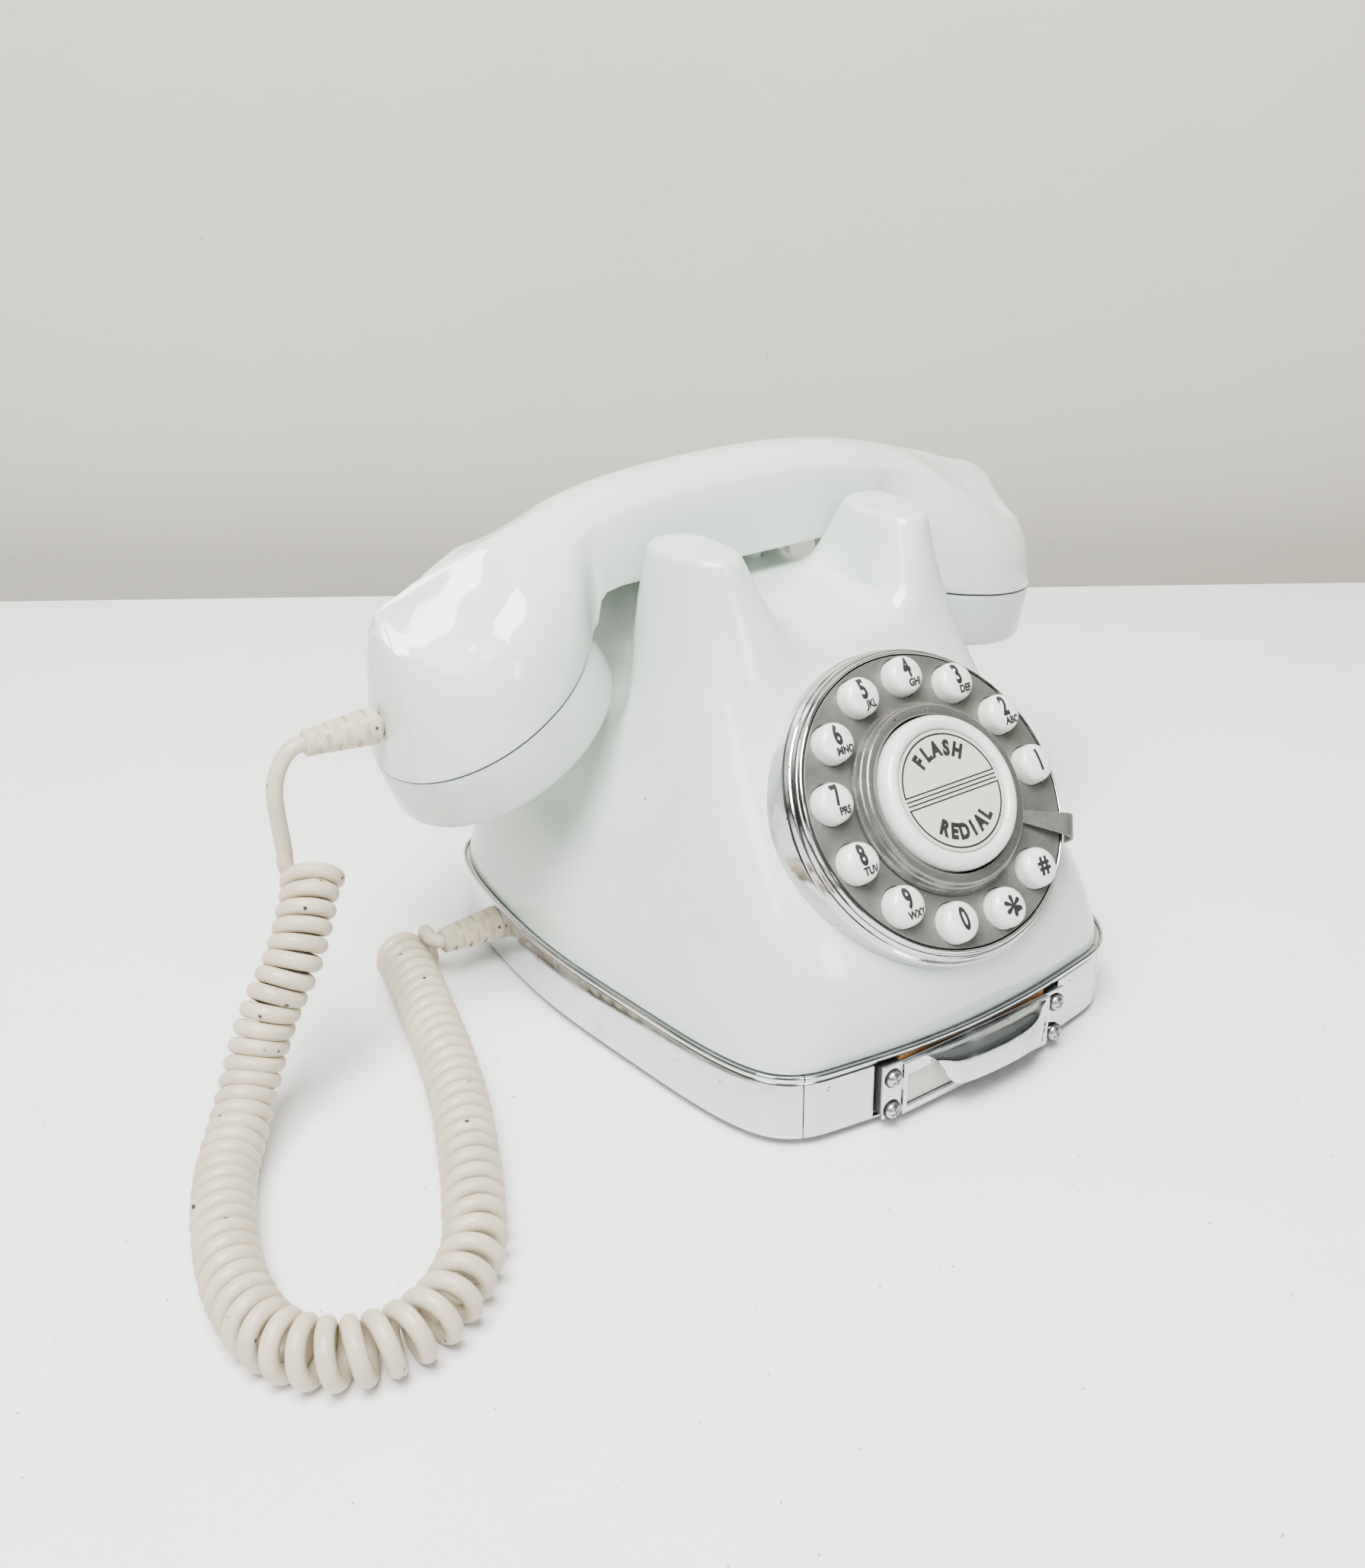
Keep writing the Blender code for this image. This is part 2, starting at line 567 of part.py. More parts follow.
def shell_section(station):
    """Closed ring: up the near side to the shoulder, over the ridge, and down the far side."""
    x, shoulder_width, shoulder_height, sag = station
    low, high = underside_height(x), ridge_height(x)
    near_cup = min(1.0, max(0.0, (abs(x) - 30) / 30))
    width = max(half_width(x), HANDLE_HALF_WIDTH + 2.0 * near_cup)
    half = []
    for inward, up in SIDE_STEPS:
        half.append((width + (shoulder_width - width) * inward, low + (shoulder_height - low) * up))
    half.append((shoulder_width, shoulder_height))
    for share in (0.3, 0.58, 0.84):
        line = shoulder_height + (high - shoulder_height) * share
        half.append((shoulder_width * (1 - share), line - sag * 4 * share * (1 - share)))
    ring = [(x, HANDSET_Y - y, z) for y, z in half]
    ring.append((x, HANDSET_Y, high))
    ring.extend((x, HANDSET_Y + y, z) for y, z in reversed(half))
    return ring


def cup_frame(centre, tilt):
    """Turn that points local Z out of the cup, and the point a distance along it."""
    lean = math.radians(tilt)
    out = Vector((math.sin(lean), 0, -math.cos(lean)))
    return (0, 180 - tilt, 0), lambda distance: tuple(Vector(centre) + out * distance)


def cap_profile(radius, depth, flare):
    """A shallow cup with a sunken face, its side leaning outwards by the flare."""
    rim = radius + flare
    return ((0, depth - 1.8), (rim - 12, depth - 1.8), (rim - 6.5, depth - 0.8), (rim - 3.2, depth - 0.1),
            (rim - 1.2, depth - 0.3), (rim - 0.2, depth - 1.4), (rim - 0.1, depth - 2.6), (radius, 0.3),
            (radius - 3, 0.3), (rim - 3.4, depth - 5.4), (rim - 6, depth - 4.4), (0, depth - 4.6))


def lean(mesh, slope):
    """Slides each level of the mesh along its X in proportion to its height."""
    for vertex in mesh.vertices:
        vertex.co.x += slope * vertex.co.z
    return mesh


def add_handset(group, cutters, white, pale, metal, wire):
    shell = add("handset_shell", loft("handset_shell", [shell_section(station) for station in SHOULDERS]), white, group)
    cups = (("mouth", MOUTH_CENTRE, MOUTH_TILT_DEG, MOUTH_RADIUS, 16.8, 1.0, 0.13),
            ("ear", EAR_CENTRE, EAR_TILT_DEG, EAR_RADIUS, 17.5, -0.6, 0.0))
    for name, centre, tilt, radius, depth, flare, slope in cups:
        turn, along = cup_frame(centre, tilt)
        cut(shell, cylinder_mesh("pocket", radius - 5, 16, 40), cutters, along(0), turn)
        cut(shell, cylinder_mesh("deep_pocket", 18, 40, 32), cutters, along(0), turn)
        side = math.copysign(1, centre[0])
        cut(shell, cylinder_mesh("wire_well", 4.5, 24, 16), cutters, (side * 80, HANDSET_Y, 119), (0, 0, 0))
        cap = lean(revolve(f"{name}_cap", cap_profile(radius, depth, flare), 40, False), slope)
        smooth(add(f"{name}_cap", cap, pale, group, centre, turn), 50)
    cut(shell, cylinder_mesh("wire_channel", 3.5, 164, 16), cutters, (0, HANDSET_Y, 129), (0, 90, 0))
    cut(shell, cylinder_mesh("relief_hole", 3.4, 16, 20), cutters, (-112, HANDSET_Y, RELIEF_Z), (0, 90, 0))
    smooth(shell)
    for name, centre, tilt, label in (("microphone_capsule", MOUTH_CENTRE, MOUTH_TILT_DEG, "microphone"),
                                      ("receiver_capsule", EAR_CENTRE, EAR_TILT_DEG, "receiver")):
        turn, along = cup_frame(centre, tilt)
        capsule = revolve(label, ((0, 9.0), (21, 9.0), (23, 7.5), (23, -4.0), (15, -6.5), (0, -6.5)), 32, False)
        smooth(add(name, capsule, metal, group, centre, turn))
    route = ((-80, HANDSET_Y, 112), (-80, HANDSET_Y, 124), (-78.5, HANDSET_Y, 127.5), (-75, HANDSET_Y, 129),
             (75, HANDSET_Y, 129), (78.5, HANDSET_Y, 127.5), (80, HANDSET_Y, 124), (80, HANDSET_Y, 112))
    tube("handset_wiring", route, 1.2, wire, group, 1)


def relief_profile(length, wide, narrow, neck):
    """Ribbed, tapered sleeve along local Z, with a neck behind it."""
    ribs = 5
    profile = [(0, length), (narrow * 0.8, length), (narrow, length - 0.6)]
    pitch = (length - 2.6) / ribs
    for rib in range(ribs):
        high = length - 1.6 - pitch * rib
        radius = narrow + (wide - narrow) * (rib + 0.6) / ribs
        profile.extend(((radius, high - 0.1), (radius - 0.9, high - 0.3), (radius - 0.9, high - pitch * 0.45),
                        (radius, high - pitch * 0.5)))
    profile.extend(((wide, 0.9), (wide, 0.0), (neck, 0.0), (neck, -5.0), (0, -5.0)))
    return profile


def add_cord(group, beige):
    handset_relief = revolve("handset_strain_relief", relief_profile(20.5, 5.2, 3.6, 3.0), 16, False)
    smooth(add("handset_strain_relief", handset_relief, beige, group, (-111.9, HANDSET_Y, RELIEF_Z), (0, -90, 0)), 30)
    base_relief = revolve("base_strain_relief", relief_profile(17.3, 5.3, 3.7, 4.0), 16, False)
    x, y, z = BASE_RELIEF
    smooth(add("base_strain_relief", base_relief, beige, group, (x - 1.9, y, z), (0, -90, 0)), 30)
    tube("cord_coil", smooth_route(COIL_ROUTE, 44), COIL_RADIUS, beige, group, 3)
    handset_tail = smooth_route(((-133.1, HANDSET_Y, RELIEF_Z), (-134.9, HANDSET_Y, 92.3), (-138.3, 31.8, 88.6),
                                 (-140.4, 31.4, 82.5), (-141, 31, 75), (-139.2, 30.4, 67.5), (-136, 29.2, 62.8),
                                 (-134.4, 27.4, 60.4)), 14)
    tube("cord_tail_handset", handset_tail, TAIL_RADIUS, beige, group)
    base_tail = smooth_route(((-94.2, 40.2, 13.9), (-96, 40.5, 14.1), (-96.5, 43.5, 14.2), (-95.4, 47, 13.4),
                              (-94.8, 51, 12), (-96.3, 55, 10.3), (-100, 57, 8.9), (-103.2, 55.6, 8.1),
                              (-103.9, 51.4, 7.8)), 22)
    tube("cord_tail_base", base_tail, TAIL_RADIUS, beige, group)


def hood_section():
    """(y, z) of the pull's curved hood, from the plate out to its lip."""
    return ((-87.6, 19.1), (-90.2, 18.6), (-92.3, 17.0), (-93.5, 14.4), (-93.9, 11.2), (-93.6, 8.9))


def add_drawer(group, cutters, chrome, steel, plastic, wood, ivory):
    tray = add("drawer_tray", box_mesh("drawer_tray", (-DRAWER_HALF_WIDTH + 1.5, -82.6, 5.3), (DRAWER_HALF_WIDTH - 1.5,
               8, 17.5)), plastic, group)
    cut(tray, box_mesh("tray_inside", (-DRAWER_HALF_WIDTH + 3.2, -81, 6.9), (DRAWER_HALF_WIDTH - 3.2, 6.4, 25)), cutters)
    front = add("drawer_front", box_mesh("drawer_front", (-DRAWER_HALF_WIDTH, -85.7, 4.4), (DRAWER_HALF_WIDTH, -82.9,
                20.2)), wood, group)
    for near, far in ((-35, -26), (25.6, 35)):
        cut(front, box_mesh("corner_notch", (near, -90, 18.6), (far, -80, 25)), cutters)
    low, high = PULL_FACE_Y, PULL_FACE_Y + 1.0
    pull = add("drawer_pull", box_mesh("drawer_pull", (-32.3, low, 3.7), (32.3, high, 19.6)), chrome, group)
    join(pull, box_mesh("pull_frame", (-26.2, low - 0.9, 3.4), (26.2, high - 0.3, 19.1)), cutters)
    cut(pull, box_mesh("card_window", (-24.8, -95, 5.3), (24.8, -80, 15.3)), cutters)
    hood_points, hood_faces = hood_mesh()
    join(pull, mesh_from("pull_hood", hood_points, hood_faces), cutters)
    for x in (-PULL_SCREW_X, PULL_SCREW_X):
        for height in PULL_SCREW_HEIGHTS:
            cut(pull, cylinder_mesh("screw_hole", 1.3, 6, 12), cutters, (x, low, height), (90, 0, 0))
            cut(front, cylinder_mesh("screw_hole", 1.3, 12, 12), cutters, (x, low + 3, height), (90, 0, 0))
    smooth(pull)
    add("label_card", box_mesh("label_card", (-24.4, low + 0.1, 5.7), (24.4, high, 14.9)), ivory, group)
    screw = revolve("pull_screw", ((0, 1.7), (1.2, 1.5), (2.0, 0.95), (2.25, 0.25), (2.65, 0.2), (2.65, 0.0), (1.0, 0.0),
                                   (1.0, -4.0), (0, -4.0)), 14, False)
    for name, x, height in (("upper_left", -PULL_SCREW_X, PULL_SCREW_HEIGHTS[1]),
                            ("lower_left", -PULL_SCREW_X, PULL_SCREW_HEIGHTS[0]),
                            ("upper_right", PULL_SCREW_X, PULL_SCREW_HEIGHTS[1]),
                            ("lower_right", PULL_SCREW_X, PULL_SCREW_HEIGHTS[0])):
        smooth(add(f"pull_screw_{name}", screw, steel, group, (x, low - 0.3, height), (90, 0, 0)))


def hood_mesh():
    """Thin curved sheet: its left end slants, its lip bows out in the middle."""
    stations = ((-20.0, 0.55, 8.5), (-14.0, 0.8, 4.0), (-7.0, 0.94, 1.0), (3.0, 1.0, 0.0), (12.0, 0.94, 0.0),
                (19.0, 0.72, 0.0), (24.3, 0.2, 0.0))
    outer, inner = [], []
    root_y = hood_section()[0][0]
    for x, bow, slant in stations:
        for step, (y, z) in enumerate(hood_section()):
            share = step / (len(hood_section()) - 1)
            place = (x + slant * share, root_y + (y - root_y) * bow, z)
            outer.append(place)
            inner.append((place[0], place[1] + 0.8 * min(1.0, share + 0.35), place[2] - 0.8 * (1 - share)))
    wide = len(hood_section())
    count = len(outer)
    points = outer + inner
    faces = []
    for row in range(len(stations) - 1):
        for step in range(wide - 1):
            a = row * wide + step
            b = a + wide
            faces.append((a, a + 1, b + 1, b))
            faces.append((count + a, count + b, count + b + 1, count + a + 1))
    for row in range(len(stations) - 1):
        a, b = row * wide, (row + 1) * wide
        faces.append((a, b, count + b, count + a))
        a, b = a + wide - 1, b + wide - 1
        faces.append((b, a, count + a, count + b))
    for step in range(wide - 1):
        faces.append((step + 1, step, count + step, count + step + 1))
        a = (len(stations) - 1) * wide + step
        faces.append((a, a + 1, count + a + 1, count + a))
    return points, faces


def add_insides(group, cutters, clear, plastic, board, steel, metal):
    plunger = revolve("hook_plunger", ((0, 122.2), (2.2, 122.1), (2.9, 121.3), (2.9, 102.0), (0, 102.0)), 16, False)
    for name, side in (("left", -1), ("right", 1)):
        smooth(add(f"hook_plunger_{name}", plunger, clear, group, (side * 13, HANDSET_Y, 0)))
    add("hook_switch", box_mesh("hook_switch", (-20, 24, 84), (20, 40, 97.8)), plastic, group)
    ballast = add("ballast_weight", box_mesh("ballast_weight", (-8, 20, 5.1), (50, 66, 9.6)), steel, group)
    bevel(ballast, 0.8, 1)
    add("main_circuit_board", box_mesh("main_circuit_board", (-8, 20, 12), (50, 66, 13.6)), board, group)
    ringer = revolve("ringer", ((0, 19), (12, 18), (21, 18.5), (22, 17.5), (22, 8), (14, 5.2), (0, 5.2)), 32, False)
    smooth(add("ringer", ringer, metal, group, (-34, 48, 0)))
    jack = add("line_jack", box_mesh("line_jack", (28, 68, 6), (42, 82, 18)), plastic, group)
    cut(jack, box_mesh("jack_mouth", (31, 72, 8.5), (39, 90, 15.5)), cutters)


def build():
    clear_scene()
    group = collection("desk_telephone")
    cutters = collection("cutters")
    white = material("glossy_white_plastic", (0.74, 0.79, 0.75), 0.16)
    pale = material("pale_grey_plastic", (0.66, 0.70, 0.67), 0.2)
    key_white = material("key_white_plastic", (0.82, 0.84, 0.81), 0.2)
    chrome = material("chrome_plate", (0.72, 0.73, 0.74), 0.08, 1.0)
    satin = material("satin_grey_metal", (0.32, 0.32, 0.30), 0.38, 1.0)
    steel = material("steel", (0.45, 0.45, 0.45), 0.35, 1.0)
    metal = material("capsule_metal", (0.5, 0.5, 0.48), 0.4, 1.0)
    ivory = material("ivory_card", (0.62, 0.57, 0.48), 0.55)
    wood = material("brown_board", (0.42, 0.2, 0.06), 0.6)
    beige = material("beige_cord_plastic", (0.63, 0.56, 0.46), 0.35)
    rubber = material("dark_rubber", (0.03, 0.03, 0.03), 0.7)
    board = material("circuit_board", (0.05, 0.2, 0.09), 0.5)
    plastic = material("black_plastic", (0.03, 0.03, 0.035), 0.45)
    clear = material("plunger_plastic", (0.7, 0.72, 0.7), 0.25)
    wire = material("wire_sleeve", (0.3, 0.05, 0.04), 0.5)
    add_housing(group, cutters, white)
    add_base(group, cutters, chrome, steel, rubber)
    add_dial(group, cutters, chrome, satin, key_white, ivory, board, rubber)
    add_handset(group, cutters, white, pale, metal, wire)
    add_cord(group, beige)
    add_drawer(group, cutters, chrome, steel, plastic, wood, ivory)
    add_insides(group, cutters, clear, plastic, board, steel, metal)
    cutters.hide_render = True
    for made in [*group.objects, *cutters.objects]:
        made.location.x += CENTRE_SHIFT[0] * MM
        made.location.y += CENTRE_SHIFT[1] * MM


build()
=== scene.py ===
import itertools
import json
import math

import bmesh
import bpy
import numpy as np
from mathutils import Matrix, Vector


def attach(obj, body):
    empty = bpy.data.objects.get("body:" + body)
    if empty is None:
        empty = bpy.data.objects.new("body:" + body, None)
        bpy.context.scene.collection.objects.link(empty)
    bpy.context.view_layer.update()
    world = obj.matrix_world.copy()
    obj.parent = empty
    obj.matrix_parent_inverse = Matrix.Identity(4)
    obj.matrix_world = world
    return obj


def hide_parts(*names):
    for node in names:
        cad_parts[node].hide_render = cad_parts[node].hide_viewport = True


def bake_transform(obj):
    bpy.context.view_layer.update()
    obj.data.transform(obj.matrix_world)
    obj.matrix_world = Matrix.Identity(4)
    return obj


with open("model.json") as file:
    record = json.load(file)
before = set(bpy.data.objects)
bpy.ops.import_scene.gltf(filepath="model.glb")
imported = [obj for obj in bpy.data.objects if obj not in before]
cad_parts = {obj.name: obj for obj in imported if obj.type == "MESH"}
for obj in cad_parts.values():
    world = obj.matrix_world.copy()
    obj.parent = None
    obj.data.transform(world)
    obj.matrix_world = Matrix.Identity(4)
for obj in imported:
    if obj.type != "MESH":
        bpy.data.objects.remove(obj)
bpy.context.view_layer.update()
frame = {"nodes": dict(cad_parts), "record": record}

# Lengths are in millimetres until they become meshes. The tables repeat the part's design tables, except that
# the handset's shoulders are drawn a little finer here.
MM = 0.001
SHIFT = Vector((-3.3, 5.7, 0.0))
OUTLINE_STEPS = 14
CORD_RADIUS = 2.2
COIL_TURNS = 65
DIAL_CENTRE = (0.0, -68.3, 80.1)
DIAL_TURN_DEG = 51.2
KEY_CIRCLE_RADIUS = 33.0
KEY_FIRST_DEG = -0.5
KEY_STEP_DEG = 28.02
KEY_NAMES = ("1", "2", "3", "4", "5", "6", "7", "8", "9", "0", "star", "hash")
HANDSET_Y = 32.0
MOUTH_CENTRE = (-81.0, HANDSET_Y, 96.0)
MOUTH_RADIUS = 34.7
MOUTH_TILT_DEG = 30.8
EAR_CENTRE = (84.8, HANDSET_Y, 97.0)
EAR_RADIUS = 33.0
EAR_TILT_DEG = -9.0
RELIEF_Z = 92.4
DRAWER_HALF_WIDTH = 32.0
PULL_SCREW_X = 29.3
PULL_SCREW_HEIGHTS = (5.8, 15.6)
PULL_FACE_Y = -87.1
BASE_RELIEF = (-74.6, 40.2, 13.9)
HOUSING_LEVELS = (
    ((0, -29.5, 116.5), (20, -28, 116.5), (24, -23.5, 137.5), (41.5, -20, 137.2), (44.5, 12, 137),
     (34, 17, 106),
     (34, 32, 104), (34, 46, 106), (43, 52.6, 136), (41, 66.5, 134), (24, 68.5, 134), (20, 70, 115),
     (0, 71, 114.5)),
    ((0, -35, 108), (20, -33.5, 108), (27, -31.5, 112), (44.5, -24.5, 113), (48, 11, 113), (35.5, 15, 97),
     (35, 32, 95), (35.5, 48, 97), (46.5, 52, 112), (43, 71, 112), (27, 72.5, 111), (20, 73, 108),
     (0, 73.5, 108)),
    ((0, -50.5, 88), (21, -49, 88), (31, -47, 88), (48.5, -40, 89), (53, 6, 90), (40, 15, 85),
     (38.5, 32, 84), (40, 48, 85), (51, 55, 90), (46.5, 74.5, 89), (30, 76, 88), (18, 76.5, 88), (0, 77, 88)),
    ((0, -70, 64), (21, -69, 64), (35, -66.5, 64), (53.5, -58, 65), (60, 2, 69), (56, 16, 78),
     (56, 32, 79), (56, 46, 78), (59.5, 59, 69), (54.5, 78, 66), (34, 79.5, 65), (20, 80, 65), (0, 80, 65)),
    ((0, -91, 41), (22, -89.5, 41), (39, -85, 41), (58, -73, 42), (67.5, -12, 44), (71, 12, 46),
     (71.5, 30, 46), (70.5, 45, 46), (68, 61, 45), (61, 79.5, 43), (38, 81.5, 42), (20, 82, 42), (0, 82, 42)),
    ((0, -86, 21.7), (24, -84.5, 21.7), (42, -81.5, 21.7), (63, -78.5, 21.7), (70, -30, 21.7), (75, 2, 21.7),
     (75.5, 25, 21.7), (74.5, 46, 21.7), (72.5, 63, 21.7), (65.5, 81, 21.7), (40, 81, 21.7), (20, 81, 21.7),
     (0, 81, 21.7)),
)
HOUSING_TOP = (
    ((0, 9, 116), (20.5, 11, 116.3), (23.5, 12, 137)),
    ((0, 14, 115.5), (20, 15.5, 115.5), (27, 17, 115)),
    ((0, 32, 115), (20, 32, 115), (27, 32, 114)),
    ((0, 48, 115.5), (20, 47, 115.5), (27, 46, 115)),
    ((0, 54, 116), (20.5, 52.8, 116.3), (23.5, 52.6, 134.5)),
)
HORN_CREASE = 0.96
FOOT_CREASE = 0.8
RIDGE = ((-110.4, 119.5), (-109.5, 123.3), (-102, 127.7), (-95.5, 130.8), (-86, 134.1), (-76.3, 137.2),
         (-66.5, 140.2), (-56.6, 143.1), (-46.5, 145.7), (-36, 147.7), (-22.5, 149.1), (0, 149.9),
         (19, 149.4),
         (36, 147.6), (53, 144.4), (70, 139.8), (89, 133.3), (109.2, 124.2), (111.5, 116), (117.2, 95))
SHOULDERS = ((-110.35, 2.8, 118.6, 0.0), (-109.3, 6.0, 116.8, 0.3), (-107.2, 10.0, 114.0, 0.9),
             (-103.6, 14.4, 113.6, 2.0), (-98.9, 18.0, 114.8, 2.9), (-92.9, 21.0, 117.0, 3.0),
             (-85.8, 21.4, 122.8, 2.2), (-80.5, 19.4, 127.2, 1.7), (-76.0, 17.4, 130.8, 0.5),
             (-69.0, 16.4, 132.2, -0.5), (-60.5, 15.2, 135.4, -0.9), (-52.0, 13.8, 139.0, -1.6),
             (-50.8, 13.6, 139.4, -1.6), (-48.8, 13.4, 139.9, -1.6), (-44.0, 13.0, 141.2, -1.6),
             (-36.0, 12.6, 142.6, -1.6), (-18.0, 12.2, 144.0, -1.6), (0.0, 12.2, 144.3, -1.6),
             (18.0, 12.2, 144.1, -1.6), (34.0, 12.6, 142.6, -1.6), (43.0, 13.0, 141.4, -1.6),
             (47.0, 13.4, 140.4, -1.6), (49.5, 13.6, 139.6, -1.6), (52.0, 13.8, 138.8, -1.6),
             (57.4, 14.6, 137.4, -1.6), (63.3, 15.6, 136.0, -1.5), (71.1, 17.4, 133.6, -0.8),
             (79.6, 19.8, 128.4, 1.0), (88.1, 21.4, 122.4, 2.3), (95.9, 21.2, 117.4, 3.0),
             (103.1, 19.0, 114.2, 2.6),
             (108.6, 15.4, 113.2, 1.2), (113.2, 11.2, 106.4, 0.0), (115.8, 6.0, 97.4, 0.0),
             (116.9, 3.0, 94.6, 0.0))
SIDE_STEPS = ((0.0, 0.0), (0.03, 0.14), (0.12, 0.36), (0.3, 0.6), (0.6, 0.82))
HANDLE_HALF_WIDTH = 16.5
HANDLE_UNDERSIDE = 122.6
COIL_ROUTE = ((-103.9, 49.8, 7.8), (-105.9, 36, 7.8), (-110.3, 16.1, 7.8), (-115.4, -4.8, 7.8),
              (-120.9, -23.4, 7.8), (-128.3, -43, 7.8), (-135.3, -59, 7.8), (-141.9, -71.9, 7.8),
              (-152.7, -82.3, 7.8), (-164.2, -86.6, 7.8), (-176, -85.2, 7.8), (-185.3, -79, 7.8),
              (-190.6, -69, 7.8), (-191.4, -55, 7.8), (-189.3, -42, 7.8), (-185.4, -28, 7.8),
              (-179.7, -14.5, 8.2),
              (-172.3, -3.8, 11.5), (-166, 3.4, 18), (-161, 7, 26), (-155.8, 9.3, 34), (-148.2, 12.4, 43),
              (-141.2, 18.6, 52), (-135.6, 26, 59))

STAGE = bpy.context.scene.collection


def mesh_from(name, points, faces):
    made = bpy.data.meshes.new(name)
    made.from_pydata([Vector(p) * MM for p in points], [], faces)
    made.update()
    return made


def revolve(name, profile, segments, closed):
    """A mesh turned about local Z. profile holds (radius, height) outwards and down the outside.

    A closed profile makes a ring. An open one starts and ends on the axis.
    """
    points, faces, rings = [], [], []
    for radius, height in profile:
        if radius == 0:
            rings.append([len(points)])
            points.append((0, 0, height))
            continue
        rings.append(list(range(len(points), len(points) + segments)))
        for step in range(segments):
            angle = math.tau * step / segments
            points.append((radius * math.cos(angle), radius * math.sin(angle), height))
    pairs = list(zip(rings, rings[1:] + rings[:1])) if closed else list(zip(rings, rings[1:]))
    for upper, lower in pairs:
        for step in range(segments):
            after = (step + 1) % segments
            corners = [upper[step % len(upper)], lower[step % len(lower)],
                       lower[after % len(lower)], upper[after % len(upper)]]
            face = list(dict.fromkeys(corners))
            if len(face) > 2:
                faces.append(face)
    return mesh_from(name, points, faces)


def box_mesh(name, low, high):
    made = bmesh.new()
    size = [b - a for a, b in zip(low, high)]
    middle = [(a + b) / 2 for a, b in zip(low, high)]
    place = Matrix.Translation(Vector(middle) * MM) @ Matrix.Diagonal((*[s * MM for s in size], 1))
    bmesh.ops.create_cube(made, size=1, matrix=place)
    mesh = bpy.data.meshes.new(name)
    made.to_mesh(mesh)
    made.free()
    return mesh


def cylinder_mesh(name, radius, length, segments=32, end_radius=None):
    """A cylinder or cone along local Z, its middle at the origin."""
    made = bmesh.new()
    last = radius if end_radius is None else end_radius
    bmesh.ops.create_cone(made, cap_ends=True, segments=segments, radius1=radius * MM, radius2=last * MM,
                          depth=length * MM)
    mesh = bpy.data.meshes.new(name)
    made.to_mesh(mesh)
    made.free()
    return mesh


def smooth_route(knots, count):
    """count points evenly along a Catmull-Rom curve through the knots."""
    knots = [Vector(k) for k in knots]
    ends = [2 * knots[0] - knots[1], *knots, 2 * knots[-1] - knots[-2]]
    fine = []
    for a, b, c, d in zip(ends, ends[1:], ends[2:], ends[3:]):
        for step in range(20):
            t = step / 20
            fine.append(0.5 * (2 * b + (c - a) * t + (2 * a - 5 * b + 4 * c - d) * t**2
                               + (3 * b - a - 3 * c + d) * t**3))
    fine.append(knots[-1])
    lengths = [0.0]
    for a, b in zip(fine, fine[1:]):
        lengths.append(lengths[-1] + (b - a).length)
    route, at = [], 0
    for step in range(count):
        wanted = lengths[-1] * step / (count - 1)
        while at < len(fine) - 2 and lengths[at + 1] < wanted:
            at += 1
        share = (wanted - lengths[at]) / (lengths[at + 1] - lengths[at])
        route.append(tuple(fine[at].lerp(fine[at + 1], share)))
    return route


def mirrored_ring(half):
    """The whole ring from its right half, starting at the front-left corner."""
    left = [(-x, y, z) for x, y, z in half]
    return [left[3], left[2], left[1], *half[:12], half[12], *left[11:3:-1]]


def housing_cage():
    """Points and faces of the closed housing cage, and the edges that stay sharp."""
    rings = [mirrored_ring(level) for level in HOUSING_LEVELS]
    count = len(rings[0])
    points = [point for ring in rings for point in ring]
    faces = []
    for level in range(len(rings) - 1):
        for step in range(count):
            after = (step + 1) % count
            low, high = level * count, (level + 1) * count
            faces.append((low + after, low + step, high + step, high + after))
    faces.append(tuple(range((len(rings) - 1) * count, len(rings) * count))[::-1])
    grid = {}
    for column in range(7):
        grid[column, 0] = column
        grid[column, 6] = 18 - column
        if column < 6:
            grid[6, column] = 6 + column
            grid[0, column] = (24 - column) % count
    for row, half in enumerate(HOUSING_TOP, start=1):
        for column, (x, y, z) in zip((3, 4, 5), half):
            for side, place in ((1, column), (-1, 6 - column)):
                if side < 0 and column == 3:
                    continue
                grid[place, row] = len(points)
                points.append((side * x, y, z))
    for column in range(6):
        for row in range(6):
            faces.append((grid[column, row], grid[column + 1, row], grid[column + 1, row + 1],
                          grid[column, row + 1]))
    sharp = {}
    bottom = (len(rings) - 1) * count
    for step in range(count):
        sharp[bottom + step, bottom + (step + 1) % count] = 1.0
    for columns in ((0, 1), (5, 6)):
        for rows in ((0, 1), (5, 6)):
            a, b = columns
            c, d = rows
            for first, second in (((a, c), (b, c)), ((b, c), (b, d)), ((b, d), (a, d)), ((a, d), (a, c))):
                sharp[grid[first], grid[second]] = HORN_CREASE
    for foot in (2, 4):
        for rows in ((0, 1), (5, 6)):
            sharp[grid[foot, rows[0]], grid[foot, rows[1]]] = FOOT_CREASE
    return points, faces, sharp


def base_outline():
    """Points round the housing's bottom edge: the smooth curve that the cage's lowest ring gives."""
    ring = [Vector(point[:2]) for point in mirrored_ring(HOUSING_LEVELS[-1])]
    count = len(ring)
    outline = []
    for step in range(count):
        before, here, after, later = (ring[(step + offset) % count] for offset in (-1, 0, 1, 2))
        for part in range(OUTLINE_STEPS):
            t = part / OUTLINE_STEPS
            outline.append(((1 - t)**3 * before + (3 * t**3 - 6 * t**2 + 4) * here
                            + (-3 * t**3 + 3 * t**2 + 3 * t + 1) * after + t**3 * later) / 6)
    return outline


def offset_outline(outline, distance):
    count = len(outline)
    moved = []
    for step in range(count):
        along = (outline[(step + 1) % count] - outline[step - 1]).normalized()
        moved.append(outline[step] + Vector((along.y, -along.x)) * distance)
    return moved


